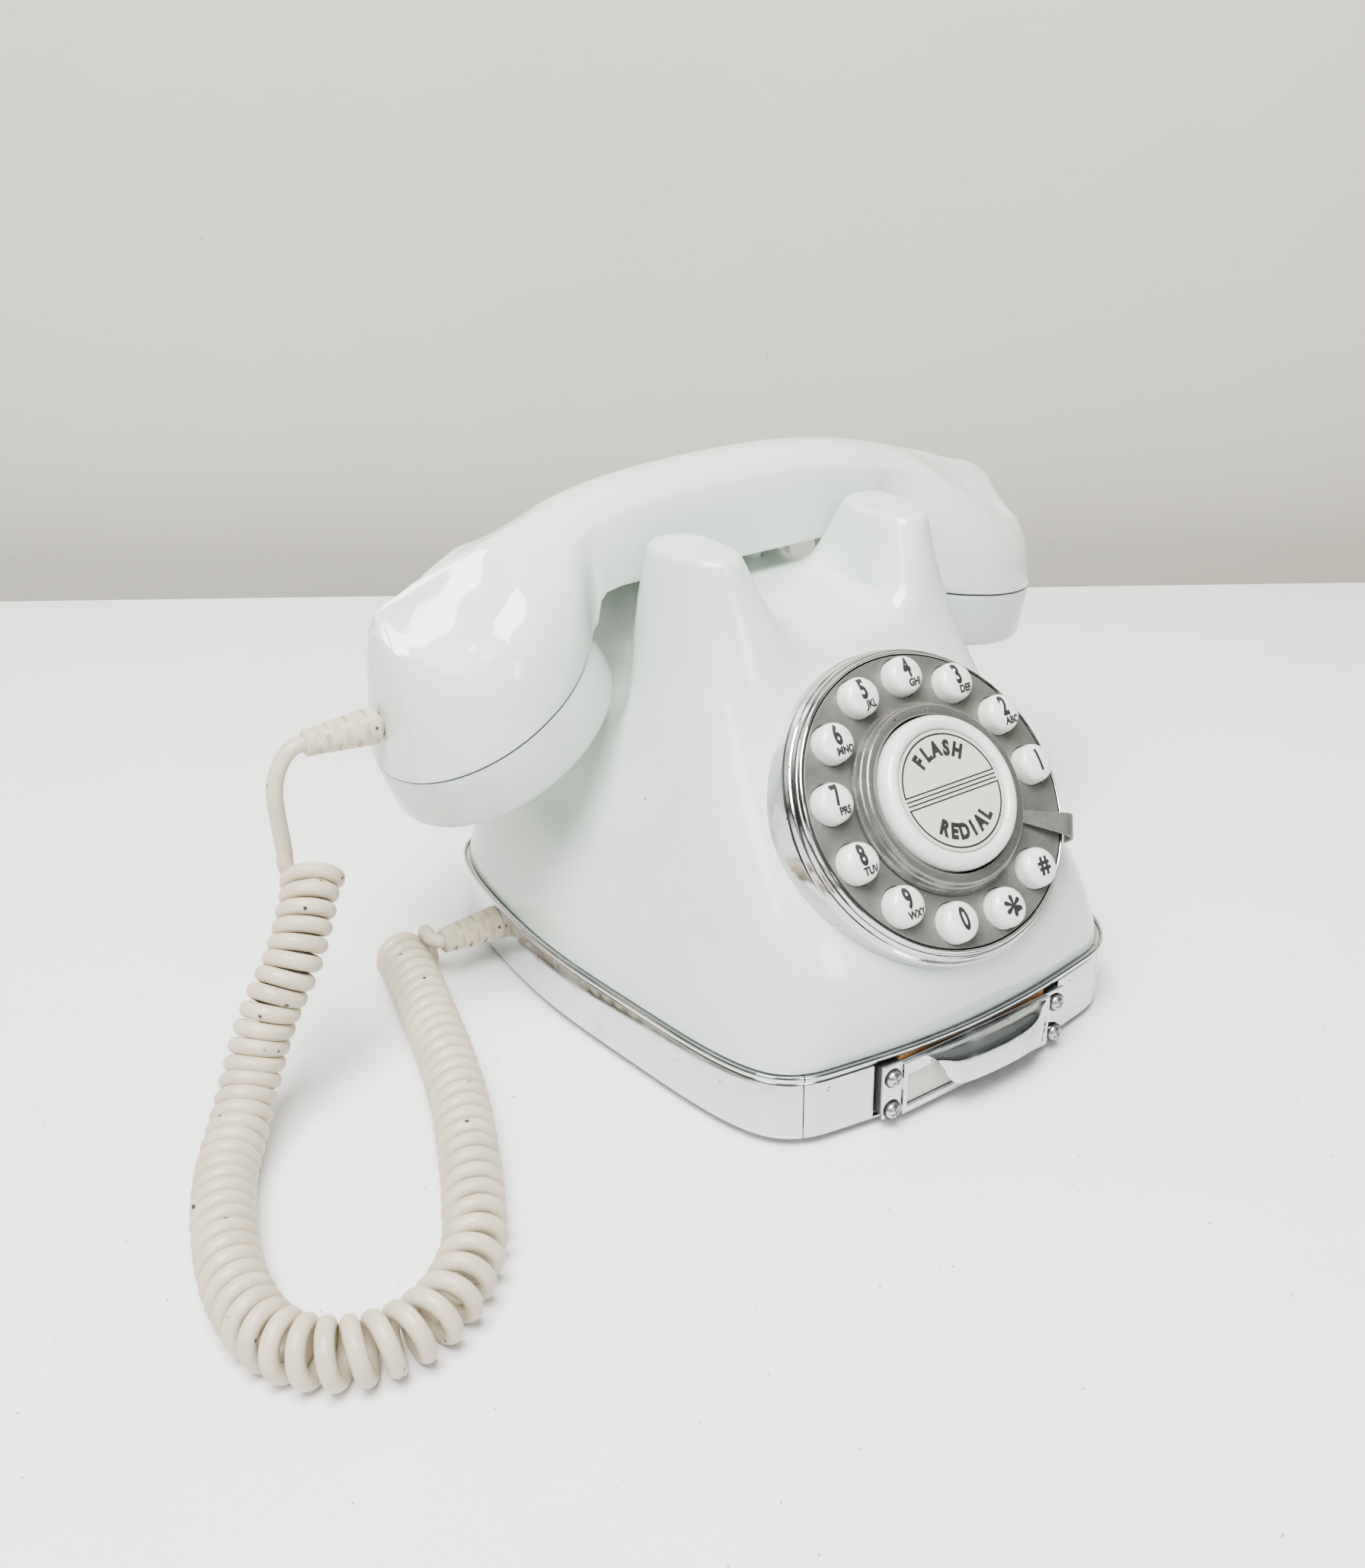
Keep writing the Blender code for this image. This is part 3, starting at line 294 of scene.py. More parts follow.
def rounded_ring(front_half, rear_half, front_y, rear_y, radius, height):
    """A ring of sixteen points: a rounded trapezium seen from above."""
    ring = []
    corners = ((front_half, front_y, -90), (rear_half, rear_y, 0), (-rear_half, rear_y, 90),
               (-front_half, front_y, 180))
    for x, y, start in corners:
        centre = (x - math.copysign(radius, x), y - math.copysign(radius, y))
        for step in range(4):
            angle = math.radians(start + 30 * step)
            ring.append((centre[0] + radius * math.cos(angle), centre[1] + radius * math.sin(angle), height))
    return ring


def loft(name, rings):
    """A closed mesh through rings of equally many points, each ring anticlockwise seen from the last."""
    count = len(rings[0])
    points = [point for ring in rings for point in ring]
    faces = []
    for level in range(len(rings) - 1):
        low, high = level * count, (level + 1) * count
        for step in range(count):
            after = (step + 1) % count
            faces.append((low + step, low + after, high + after, high + step))
    faces.append(tuple(range(count))[::-1])
    faces.append(tuple(range((len(rings) - 1) * count, len(rings) * count)))
    return mesh_from(name, points, faces)


def lower_cavity():
    return loft("lower_cavity", [rounded_ring(53, 62, -78.5, 75.5, 14, 15),
                                 rounded_ring(52, 61, -79, 75.5, 14, 30),
                                 rounded_ring(47, 57, -78, 75.5, 14, 42),
                                 rounded_ring(42, 50, -60, 74, 12, 64),
                                 rounded_ring(38, 46, -52, 73, 12, 73)])


def upper_cavity():
    return loft("upper_cavity", [rounded_ring(34, 34, -53, 71, 8, 70), rounded_ring(32, 32, -38, 69, 8, 88),
                                 rounded_ring(30, 30, -24, 65, 8, 106),
                                 rounded_ring(28, 28, -18, 62, 8, 110)])


def dial_place(u, v, w):
    """The point u to the right, v up the dial's face and w out of it."""
    turn = math.radians(DIAL_TURN_DEG)
    x, y, z = DIAL_CENTRE
    return (x + u, y + v * math.cos(turn) - w * math.sin(turn), z + v * math.sin(turn) + w * math.cos(turn))


def key_spot(index):
    angle = math.radians(KEY_FIRST_DEG + KEY_STEP_DEG * index)
    return KEY_CIRCLE_RADIUS * math.cos(angle), KEY_CIRCLE_RADIUS * math.sin(angle)


def half_width(x):
    """Half the shell's width at the parting line of the cups, nought between them."""
    spans = ((MOUTH_CENTRE[0], MOUTH_RADIUS, MOUTH_TILT_DEG), (EAR_CENTRE[0], EAR_RADIUS, EAR_TILT_DEG))
    widest = 0.0
    for middle, radius, tilt in spans:
        share = (x - middle) / (radius * math.cos(math.radians(tilt)))
        if abs(share) < 1:
            widest = max(widest, radius * math.sqrt(1 - share**2))
    return widest


def ridge_height(x):
    xs, heights = zip(*RIDGE)
    return float(fill_in(heights, xs, np.clip(np.array([x]), xs[0], xs[-1]))[0])


def underside_height(x):
    mouth_slope = math.tan(math.radians(MOUTH_TILT_DEG))
    ear_slope = math.tan(math.radians(EAR_TILT_DEG))
    if x < -51.9:
        return MOUTH_CENTRE[2] + (x - MOUTH_CENTRE[0]) * mouth_slope
    if x > 52:
        return EAR_CENTRE[2] + (x - EAR_CENTRE[0]) * ear_slope
    knots = ((-52, MOUTH_CENTRE[2] + (-52 - MOUTH_CENTRE[0]) * mouth_slope), (-50.8, 119.5), (-48.8, 121.8),
             (-44, HANDLE_UNDERSIDE), (43, HANDLE_UNDERSIDE), (47, 120), (49.5, 114.5),
             (52, EAR_CENTRE[2] + (52 - EAR_CENTRE[0]) * ear_slope))
    for (x0, z0), (x1, z1) in zip(knots, knots[1:]):
        if x0 <= x <= x1:
            return z0 + (z1 - z0) * (x - x0) / (x1 - x0)
    return HANDLE_UNDERSIDE


def shell_section(station):
    """Closed ring: up the near side to the shoulder, over the ridge, and down the far side."""
    x, shoulder_width, shoulder_height, sag = station
    low, high = underside_height(x), ridge_height(x)
    near_cup = min(1.0, max(0.0, (abs(x) - 30) / 30))
    handle = HANDLE_HALF_WIDTH + 1.2 * near_cup
    width = half_width(x) if abs(x) > 75 else (half_width(x)**6 + handle**6)**(1 / 6)
    half = []
    for inward, up in SIDE_STEPS:
        half.append((width + (shoulder_width - width) * inward, low + (shoulder_height - low) * up))
    half.append((shoulder_width, shoulder_height))
    for share in (0.3, 0.58, 0.84):
        line = shoulder_height + (high - shoulder_height) * share
        half.append((shoulder_width * (1 - share), line - sag * 4 * share * (1 - share)))
    ring = [(x, HANDSET_Y - y, z) for y, z in half]
    ring.append((x, HANDSET_Y, high))
    ring.extend((x, HANDSET_Y + y, z) for y, z in reversed(half))
    return ring


def cup_frame(centre, tilt):
    """Turn that points local Z out of the cup, and the point a distance along it."""
    lean = math.radians(tilt)
    out = Vector((math.sin(lean), 0, -math.cos(lean)))
    return (0, 180 - tilt, 0), lambda distance: tuple(Vector(centre) + out * distance)


def lean(mesh, slope):
    """Slides each level of the mesh along its X in proportion to its height."""
    for vertex in mesh.vertices:
        vertex.co.x += slope * vertex.co.z
    return mesh


def turned(angle_deg):
    return Matrix.Rotation(math.radians(angle_deg), 4, "Z")


def smooth(mesh, angle_deg):
    mesh.polygons.foreach_set("use_smooth", [True] * len(mesh.polygons))
    mesh.set_sharp_from_angle(angle=math.radians(angle_deg))


def put(name, mesh, finish, origin=(0, 0, 0), turn=(0, 0, 0), angle_deg=35.0):
    """A named visual object at a place in millimetres, smooth-shaded."""
    made = bpy.data.objects.new(name, mesh)
    made.location = (Vector(origin) + SHIFT) * MM
    made.rotation_euler = [math.radians(angle) for angle in turn]
    mesh.materials.clear()
    mesh.materials.append(finish)
    STAGE.objects.link(made)
    smooth(mesh, angle_deg)
    return made


def shape(target, mesh, origin=(0, 0, 0), turn=(0, 0, 0), operation="DIFFERENCE"):
    """Cuts the mesh from the target, or joins it on, for good."""
    tool = bpy.data.objects.new("tool", mesh)
    tool.location = (Vector(origin) + SHIFT) * MM
    tool.rotation_euler = [math.radians(angle) for angle in turn]
    STAGE.objects.link(tool)
    change = target.modifiers.new("shape", "BOOLEAN")
    change.operation = operation
    change.object = tool
    bake(target)
    bpy.data.objects.remove(tool)


def bake(target):
    """Makes the modifiers of the target its own mesh."""
    bpy.context.view_layer.update()
    made = bpy.data.meshes.new_from_object(target.evaluated_get(bpy.context.evaluated_depsgraph_get()))
    target.modifiers.clear()
    target.data = made


def round_edges(target, width, segments=3, angle_deg=35.0):
    change = target.modifiers.new("edges", "BEVEL")
    change.width = width * MM
    change.segments = segments
    change.limit_method = "ANGLE"
    change.angle_limit = math.radians(angle_deg)
    change.harden_normals = False
    bake(target)
    smooth(target.data, 50)


def show(made, body, slot, *nodes):
    """Fixes a finished piece to its body and stands it for its CAD nodes. The slot is not used."""
    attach(made, body)
    if nodes:
        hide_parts(*nodes)
    return made


def add(name, mesh, body, slot, nodes=(), origin=(0, 0, 0), turn=(0, 0, 0), angle_deg=35.0):
    """A piece that needs no more shaping, in the finish its slot names."""
    return show(put(name, mesh, FINISH[slot], origin, turn, angle_deg), body, slot, *nodes)


# ---- finishes


class Finish:
    """A material being built: its shader and small helpers to add nodes."""

    def __init__(self, name):
        self.made = bpy.data.materials.new(name)
        self.made.use_nodes = True
        self.tree = self.made.node_tree
        self.shader = self.tree.nodes["Principled BSDF"]
        self.place = self.node("ShaderNodeTexCoord").outputs["Object"]

    def node(self, kind, **settings):
        made = self.tree.nodes.new(kind)
        for key, value in settings.items():
            setattr(made, key, value)
        return made

    def link(self, out, into):
        self.tree.links.new(out, into)

    def noise(self, scale, detail=4.0, rough=0.55, stretch=None):
        made = self.node("ShaderNodeTexNoise")
        made.inputs["Scale"].default_value = scale
        made.inputs["Detail"].default_value = detail
        made.inputs["Roughness"].default_value = rough
        place = self.place
        if stretch:
            mapping = self.node("ShaderNodeMapping")
            mapping.inputs["Scale"].default_value = stretch
            self.link(place, mapping.inputs["Vector"])
            place = mapping.outputs["Vector"]
        self.link(place, made.inputs["Vector"])
        return made.outputs["Fac"]

    def cells(self, scale):
        made = self.node("ShaderNodeTexVoronoi", feature="F1")
        made.inputs["Scale"].default_value = scale
        self.link(self.place, made.inputs["Vector"])
        return made.outputs["Distance"]

    def span(self, value, low, high, to_low=0.0, to_high=1.0):
        made = self.node("ShaderNodeMapRange")
        made.inputs["From Min"].default_value = low
        made.inputs["From Max"].default_value = high
        made.inputs["To Min"].default_value = to_low
        made.inputs["To Max"].default_value = to_high
        self.link(value, made.inputs["Value"])
        return made.outputs["Result"]

    def times(self, a, b):
        made = self.node("ShaderNodeMath", operation="MULTIPLY")
        self.link(a, made.inputs[0])
        if isinstance(b, float):
            made.inputs[1].default_value = b
        else:
            self.link(b, made.inputs[1])
        return made.outputs[0]

    def mix(self, share, first, second):
        made = self.node("ShaderNodeMix", data_type="RGBA")
        self.link(share, made.inputs[0])
        for socket, colour in ((made.inputs[6], first), (made.inputs[7], second)):
            if isinstance(colour, tuple):
                socket.default_value = (*colour, 1.0)
            else:
                self.link(colour, socket)
        return made.outputs[2]

    def dots(self, scale, size, share):
        """Sparse small round marks: size of a cell's share, on that share of the surface."""
        marks = self.span(self.cells(scale), size * 0.6, size, 1.0, 0.0)
        picked = self.patches(scale * 0.37, 2.0, share, share + 0.02)
        return self.times(marks, picked)

    def patches(self, scale, detail, low, high, to_low=0.0, to_high=1.0, rough=0.55, stretch=None):
        return self.span(self.noise(scale, detail, rough, stretch), low, high, to_low, to_high)

    def to(self, out, name):
        self.link(out, self.shader.inputs[name])

    def bump(self, height, strength, distance=0.0002):
        made = self.node("ShaderNodeBump")
        made.inputs["Strength"].default_value = strength
        made.inputs["Distance"].default_value = distance
        self.link(height, made.inputs["Height"])
        self.link(made.outputs["Normal"], self.shader.inputs["Normal"])

    def set(self, **values):
        for key, value in values.items():
            self.shader.inputs[key.replace("_", " ")].default_value = value


def gloss_plastic(name, colour, dull, roughness, yellowing=0.25, specks=0.66):
    """Glossy moulding: faint mottling, a few dark specks, fine wear in the gloss."""
    made = Finish(name)
    tone = made.mix(made.patches(14, 4.0, 0.35, 0.7), colour, dull)
    warm = tuple(c * k for c, k in zip(colour, (0.98, 0.93, 0.76)))
    tone = made.mix(made.times(made.patches(46, 6.0, 0.66, 0.78), yellowing), tone, warm)
    tone = made.mix(made.dots(260, 0.11, specks), tone, (0.09, 0.085, 0.06))
    made.to(tone, "Base Color")
    scuffs = made.patches(700, 5.0, 0.6, 0.8, 0.0, 0.12, 0.7, (1.0, 0.08, 1.0))
    wide = made.patches(30, 3.0, 0.3, 0.7, roughness * 0.8, roughness * 1.25)
    total = made.node("ShaderNodeMath", operation="ADD")
    made.link(scuffs, total.inputs[0])
    made.link(wide, total.inputs[1])
    made.to(total.outputs[0], "Roughness")
    made.bump(made.noise(90, 2.0), 0.05, 0.0004)
    made.set(IOR=1.5)
    made.shader.inputs["Coat Weight"].default_value = 0.25
    made.shader.inputs["Coat Roughness"].default_value = 0.06
    return made.made


def worn_chrome(name, colour, stain, stains=0.5, roughness=0.07):
    """Bright plate with blotchy haze, darker pits and fine scratches."""
    made = Finish(name)
    haze = made.patches(60, 8.0, 0.56, 0.78, rough=0.7)
    tone = made.mix(made.times(haze, stains), colour, stain)
    tone = made.mix(made.dots(420, 0.16, 0.6), tone, (0.05, 0.045, 0.035))
    made.to(tone, "Base Color")
    made.to(made.patches(75, 7.0, 0.45, 0.8, roughness, roughness + 0.3, 0.65), "Roughness")
    made.bump(made.noise(520, 4.0, 0.6, (1.0, 0.2, 1.0)), 0.06, 0.0003)
    made.set(Metallic=1.0)
    return made.made


def satin_metal(name, colour, fleck, roughness):
    """Satin metallic finish with fine bright and dark flecks."""
    made = Finish(name)
    tone = made.mix(made.patches(90, 6.0, 0.35, 0.7), colour, tuple(c * 0.78 for c in colour))
    tone = made.mix(made.dots(900, 0.2, 0.5), tone, fleck)
    tone = made.mix(made.dots(330, 0.12, 0.62), tone, (0.03, 0.028, 0.02))
    made.to(tone, "Base Color")
    made.to(made.patches(200, 5.0, 0.3, 0.8, roughness, roughness + 0.2), "Roughness")
    made.bump(made.noise(1500, 3.0), 0.18, 0.0002)
    made.set(Metallic=0.7)
    return made.made


def vinyl(name, colour, dull):
    """Soft moulded vinyl with rubbed patches and dark specks."""
    made = Finish(name)
    tone = made.mix(made.patches(110, 6.0, 0.35, 0.7), colour, dull)
    tone = made.mix(made.dots(210, 0.17, 0.55), tone, (0.02, 0.02, 0.018))
    rubbed = made.times(made.patches(320, 8.0, 0.68, 0.76, rough=0.7), 0.6)
    tone = made.mix(rubbed, tone, tuple(c * 0.35 for c in dull))
    made.to(tone, "Base Color")
    made.to(made.patches(80, 5.0, 0.3, 0.75, 0.26, 0.5), "Roughness")
    made.bump(made.noise(600, 4.0), 0.12, 0.0003)
    return made.made


EVEN = (1.0, 1.0, 1.0)


def grained(name, colour, dark, roughness, stretch=(1.0, 9.0, 9.0), scale=60, metallic=0.0):
    """A plain grained or mottled finish: wood, card, board, rubber or rolled metal."""
    made = Finish(name)
    tone = made.mix(made.patches(scale, 8.0, 0.36, 0.7, rough=0.65, stretch=stretch), colour, dark)
    tone = made.mix(made.dots(300, 0.12, 0.6), tone, tuple(c * 0.4 for c in dark))
    made.to(tone, "Base Color")
    made.to(made.patches(scale * 3, 4.0, 0.3, 0.8, roughness * 0.85, min(1.0, roughness * 1.2)), "Roughness")
    made.bump(made.noise(scale * 8, 4.0, 0.6, stretch), 0.12, 0.0002)
    made.set(Metallic=metallic)
    return made.made


FINISH = {
    "glossy_white_plastic": gloss_plastic("finish_white", (0.60, 0.675, 0.62), (0.555, 0.63, 0.575), 0.13),
    "pale_grey_plastic": gloss_plastic("finish_pale", (0.51, 0.57, 0.525), (0.465, 0.525, 0.48), 0.17),
    "key_white_plastic": gloss_plastic("finish_key", (0.70, 0.745, 0.70), (0.64, 0.68, 0.63), 0.15, 0.6,
                                       0.58),
    "chrome_plate": worn_chrome("finish_chrome", (0.60, 0.615, 0.63), (0.25, 0.24, 0.21), 0.6),
    "satin_grey_metal": satin_metal("finish_satin", (0.21, 0.21, 0.188), (0.36, 0.34, 0.29), 0.36),
    "steel": grained("finish_steel", (0.5, 0.5, 0.5), (0.36, 0.36, 0.36), 0.3, metallic=1.0),
    "capsule_metal": grained("finish_capsule", (0.52, 0.52, 0.5), (0.4, 0.4, 0.38), 0.4, metallic=1.0),
    "ivory_card": grained("finish_card", (0.56, 0.55, 0.50), (0.50, 0.485, 0.43), 0.45, EVEN, 90),
    "brown_board": grained("finish_board", (0.40, 0.19, 0.06), (0.22, 0.10, 0.035), 0.6, (1.0, 14.0, 14.0),
                           80),
    "beige_cord_plastic": vinyl("finish_cord", (0.56, 0.485, 0.36), (0.46, 0.395, 0.285)),
    "dark_rubber": grained("finish_rubber", (0.03, 0.03, 0.03), (0.018, 0.018, 0.018), 0.7, EVEN, 150),
    "circuit_board": grained("finish_circuit", (0.05, 0.2, 0.09), (0.03, 0.13, 0.06), 0.5, EVEN, 200),
    "black_plastic": grained("finish_black", (0.03, 0.03, 0.035), (0.02, 0.02, 0.022), 0.42, EVEN, 120),
    "plunger_plastic": gloss_plastic("finish_plunger", (0.7, 0.72, 0.7), (0.64, 0.66, 0.64), 0.25),
    "wire_sleeve": grained("finish_wire", (0.3, 0.05, 0.04), (0.2, 0.035, 0.03), 0.5, EVEN, 150),
}
RING_METAL = satin_metal("finish_ring", (0.21, 0.205, 0.19), (0.4, 0.38, 0.33), 0.17)
BEZEL_CHROME = worn_chrome("finish_bezel", (0.54, 0.54, 0.54), (0.15, 0.10, 0.06), 0.8)
INK = grained("finish_ink", (0.012, 0.012, 0.012), (0.02, 0.02, 0.02), 0.45, EVEN, 300)
# Near-black finish. In the groove round each handset cap it is painted shade; it also colours the thin ring
# round each pull screw's head.
DARK_GAP = grained("finish_gap", (0.012, 0.011, 0.01), (0.02, 0.018, 0.016), 0.6, EVEN, 200)


# ---- camera


def add_camera():
    data = bpy.data.cameras.new("camera")
    made = bpy.data.objects.new("camera", data)
    STAGE.objects.link(made)
    right, down, forward = ((0.82810, -0.56047, -0.01119), (-0.22393, -0.31243, -0.92317),
                            (0.51391, 0.76698, -0.38423))
    turn = Matrix([[right[i], -down[i], -forward[i]] for i in range(3)]).to_4x4()
    turn.translation = (Vector((-262.63, -340.95, 274.76)) + SHIFT) * MM
    made.matrix_world = turn
    data.sensor_fit = "HORIZONTAL"
    data.sensor_width = 36
    data.lens = 42.68
    data.shift_y = -0.0928
    data.clip_start = 0.01
    bpy.context.scene.camera = made


add_camera()


# ---- cord


def coil_line(route, turns, radius):
    """Points of a helix round a route. Its last point faces left in the view, where the cord climbs away."""
    steps = turns * 26
    middle = [Vector(p) for p in smooth_route(route, steps + 1)]
    share = np.linspace(0, 1, steps + 1)
    density = 1.0 - 0.2 * np.exp(-((share - 0.42) / 0.12)**2) + 0.12 / (1 + np.exp(-(share - 0.72) / 0.03))
    turned = np.concatenate([[0], np.cumsum((density[1:] + density[:-1]) / 2)])
    turned *= math.tau * turns / turned[-1]
    frames = []
    side = (middle[1] - middle[0]).cross(Vector((0, 0, 1))).normalized()
    for step in range(steps + 1):
        ahead = (middle[min(step + 1, steps)] - middle[max(step - 1, 0)]).normalized()
        side = (side - ahead * side.dot(ahead)).normalized()
        frames.append((side.copy(), side.cross(ahead)))
    last_side, last_up = frames[-1]
    left = Vector((-0.83, 0.56, 0.0))
    last = math.atan2(last_up.dot(left), last_side.dot(left))
    climbs = (last_up * math.cos(last) - last_side * math.sin(last)).z > 0
    points = []
    for step, (here, (side, up)) in enumerate(zip(middle, frames)):
        angle = last + (turned[step] - turned[-1]) * (1 if climbs else -1)
        opening = max(0.0, 1 - (steps - step) * turns / steps / 1.3)
        points.append(here + (side * math.cos(angle) + up * math.sin(angle)) * (radius + 1.4 * opening))
    return points


def cord_line():
    coil = coil_line(COIL_ROUTE, COIL_TURNS, 7.8 - CORD_RADIUS)
    base = smooth_route(((-90.0, 40.0, 13.9), (-94.5, 40.2, 13.9), (-96.6, 42.4, 14.4), (-96.8, 46.0, 14.6),
                         tuple(coil[0] + (coil[0] - coil[4]) * 1.6 + Vector((0.8, 0, 0.6))), tuple(coil[0]),
                         tuple(coil[4])), 26)[:-5]
    up = smooth_route((tuple(coil[-5]), tuple(coil[-1]), tuple(coil[-1] + Vector((0.2, 1.2, 5.0))),
                       (-141.9, 31.2, 78), (-141.0, 31.6, 84.5), (-138.5, 31.9, 89.4), (-134.8, 32, 92.3),
                       (-128, 32, 92.4)), 40)[5:]
    line = [Vector(p) for p in base] + coil + [Vector(p) for p in up]
    for point in line:
        point.z = max(point.z, CORD_RADIUS + 0.05)
    return line


def sleeve(name, line, radius, sides, finish):
    """A round tube along the points, closed at both ends."""
    rings = []
    ahead = (line[1] - line[0]).normalized()
    side = ahead.cross(Vector((0, 0, 1))).normalized()
    angles = [math.tau * k / sides for k in range(sides)]
    for step, here in enumerate(line):
        ahead = (line[min(step + 1, len(line) - 1)] - line[max(step - 1, 0)]).normalized()
        side = (side - ahead * side.dot(ahead)).normalized()
        up = side.cross(ahead)
        rings.append([here + (side * math.cos(angle) + up * math.sin(angle)) * radius for angle in angles])
    return put(name, loft(name, rings), finish, (0, 0, 0), (0, 0, 0), 80)


def relief_outline(length, wide, narrow):
    """The sleeve's outside, without its slots: from the tip down to the shoulder."""
    return ((0, length), (narrow * 0.82, length), (narrow, length - 0.5), (narrow + 0.05, length - 1.6),
            (wide - 0.1, 1.9), (wide, 1.2), (wide, 0.5), (wide - 0.4, 0.0), (2.9, 0.0), (2.9, -5.0),
            (0, -5.0))


def add_relief(name, length, wide, narrow, origin, body):
    """A tapered sleeve with rows of rectangular slots on four sides."""
    made = put(name, revolve(name, relief_outline(length, wide, narrow), 40, False),
               FINISH["beige_cord_plastic"],
               origin, (0, -90, 0))
    pitch = (length - 4.4) / 6
    for row in range(6):
        along = 2.6 + pitch * (row + 0.5)
        radius = wide + (narrow - wide) * along / length
        for turn in (0, 90):
            angle = turn + (45 if row % 2 else 0)
            for sign in (-1, 1):
                slot = box_mesh("slot", (-radius * 0.62, -0.8, -pitch * 0.24),
                                (radius * 0.62, 0.8, pitch * 0.24))
                slot.transform(turned(angle) @ Matrix.Translation((0, sign * radius * MM, along * MM)))
                shape(made, slot, origin, (0, -90, 0))
    smooth(made.data, 35)
    return show(made, body, "beige_cord_plastic")


LINE = cord_line()
cord = sleeve("handset_cord", LINE, CORD_RADIUS, 14, FINISH["beige_cord_plastic"])
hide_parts("cord_coil", "cord_tail_base", "cord_tail_handset")
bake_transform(cord)
base_relief = add_relief("base_relief", 18.5, 5.2, 3.7,
                         (BASE_RELIEF[0] - 1.2, BASE_RELIEF[1], BASE_RELIEF[2]),
                         "telephone_base")
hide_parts("base_strain_relief")
handset_relief = add_relief("handset_relief", 20.5, 5.2, 3.6, (-111.9, HANDSET_Y, RELIEF_Z), "handset")
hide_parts("handset_strain_relief")


# ---- housing and base


def add_housing():
    points, faces, sharp = housing_cage()
    mesh = mesh_from("housing", points, faces)
    crease = mesh.attributes.new("crease_edge", "FLOAT", "EDGE")
    wanted = {frozenset(edge): value for edge, value in sharp.items()}
    for edge in mesh.edges:
        crease.data[edge.index].value = wanted.get(frozenset(edge.vertices), 0.0)
    made = put("housing", mesh, FINISH["glossy_white_plastic"])
    skin = made.modifiers.new("skin", "SUBSURF")
    skin.levels = skin.render_levels = 4
    bake(made)
    shape(made, lower_cavity())
    shape(made, upper_cavity())
    shape(made, cylinder_mesh("dial_hole", 43.15, 40, 96), dial_place(0, 0, -2), (DIAL_TURN_DEG, 0, 0))
    for side in (-1, 1):
        shape(made, cylinder_mesh("plunger_hole", 3.3, 30, 32), (side * 13, HANDSET_Y, 112))
    smooth(made.data, 38)
    return show(made, "telephone_base", "glossy_white_plastic", "housing_shell")


def band_profile():
    """(distance out, height) round the band: wall, groove, rounded bead, and the ledge under the housing."""
    bead = [(1.35 + 0.62 * math.cos(math.radians(a)), 21.05 + 0.95 * math.sin(math.radians(a)))
            for a in range(-60, 200, 26)]
    return [(0.0, 2.5), (0.95, 2.5), (1.2, 2.8), (1.25, 11.0), (1.2, 18.9), (1.0, 19.3), (0.75, 19.6),
            (0.8, 20.0),
            *bead, (0.3, 21.2), (-1.4, 21.2), (-1.4, 20.6), (0.0, 20.2)]


def band_piece(name, outline, first, last):
    count = len(outline)
    layers = [offset_outline(outline, distance) for distance, _ in band_profile()]
    rings = []
    for step in range(first, last + 1):
        ring = []
        for layer, (_, height) in zip(layers, band_profile()):
            here = layer[step % count].copy()
            if step == first:
                here = here.lerp(layer[(step + 1) % count], 0.1)
            if step == last:
                here = here.lerp(layer[(step - 1) % count], 0.1)
            ring.append((here.x, here.y, height))
        rings.append(ring)
    return put(name, loft(name, rings), FINISH["chrome_plate"], (0, 0, 0), (0, 0, 0), 30)


def add_base():
    outline = base_outline()
    total = len(outline)
    seam = 2 * OUTLINE_STEPS // 4
    last = 6 * OUTLINE_STEPS - seam
    panel = band_piece("front_panel", outline, seam, last)
    band = band_piece("band", outline, last, total + seam)
    shape(panel, box_mesh("opening", (-33.1, -95, 3.3), (33.1, -60, 20.5)))
    shape(band, cylinder_mesh("cord_hole", 4.6, 14, 40), BASE_RELIEF, (0, 90, 0))
    shape(band, box_mesh("jack_opening", (27.7, 75, 5.7), (42.3, 90, 18.3)))
    show(panel, "telephone_base", "chrome_plate", "base_front_panel")
    show(band, "telephone_base", "chrome_plate", "base_band")


add_housing()
add_base()


# ---- dial


def add_ring(name, profile, finish, slot, node, angle=45):
    made = put(name, revolve(name, profile, 120, True), finish, dial_place(0, 0, 0), (DIAL_TURN_DEG, 0, 0),
               angle)
    return show(made, "telephone_base", slot, node)


def letter(name, words, size, u, v, w, spin_deg=0.0, narrow=1.0, heavy=0.0, dome=None):
    """Ink lettering on the dial's plane, centred at (u, v). A dome is the centre of the key it lies on."""
    data = bpy.data.curves.new(name, "FONT")
    data.body = words
    data.size = size * MM
    data.align_x = "CENTER"
    data.align_y = "CENTER"
    data.offset = heavy * MM
    data.resolution_u = 4
    source = bpy.data.objects.new(name, data)
    STAGE.objects.link(source)
    bpy.context.view_layer.update()
    mesh = bpy.data.meshes.new_from_object(source.evaluated_get(bpy.context.evaluated_depsgraph_get()))
    bpy.data.objects.remove(source)
    mesh.transform(turned(spin_deg) @ Matrix.Diagonal((narrow, 1, 1, 1)))
    if dome:
        drape(mesh, u - dome[0], v - dome[1], w)
    return put(name, mesh, INK, dial_place(u, v, 0 if dome else w), (DIAL_TURN_DEG, 0, 0), 60)


def drape(mesh, across, up, above):
    """Cuts a flat mark fine and lays it on a key's dome, that far above it."""
    fine = bmesh.new()
    fine.from_mesh(mesh)
    for _ in range(4):
        long = [edge for edge in fine.edges if edge.calc_length() > 0.55 * MM]
        if long:
            bmesh.ops.subdivide_edges(fine, edges=long, cuts=1)
            bmesh.ops.triangulate(fine, faces=fine.faces)
    radii, heights = zip(*key_profile()[:10])
    for vertex in fine.verts:
        reach = math.hypot(vertex.co.x / MM + across, vertex.co.y / MM + up)
        vertex.co.z = (float(np.interp(reach, radii, heights)) + above) * MM
    fine.to_mesh(mesh)
    fine.free()


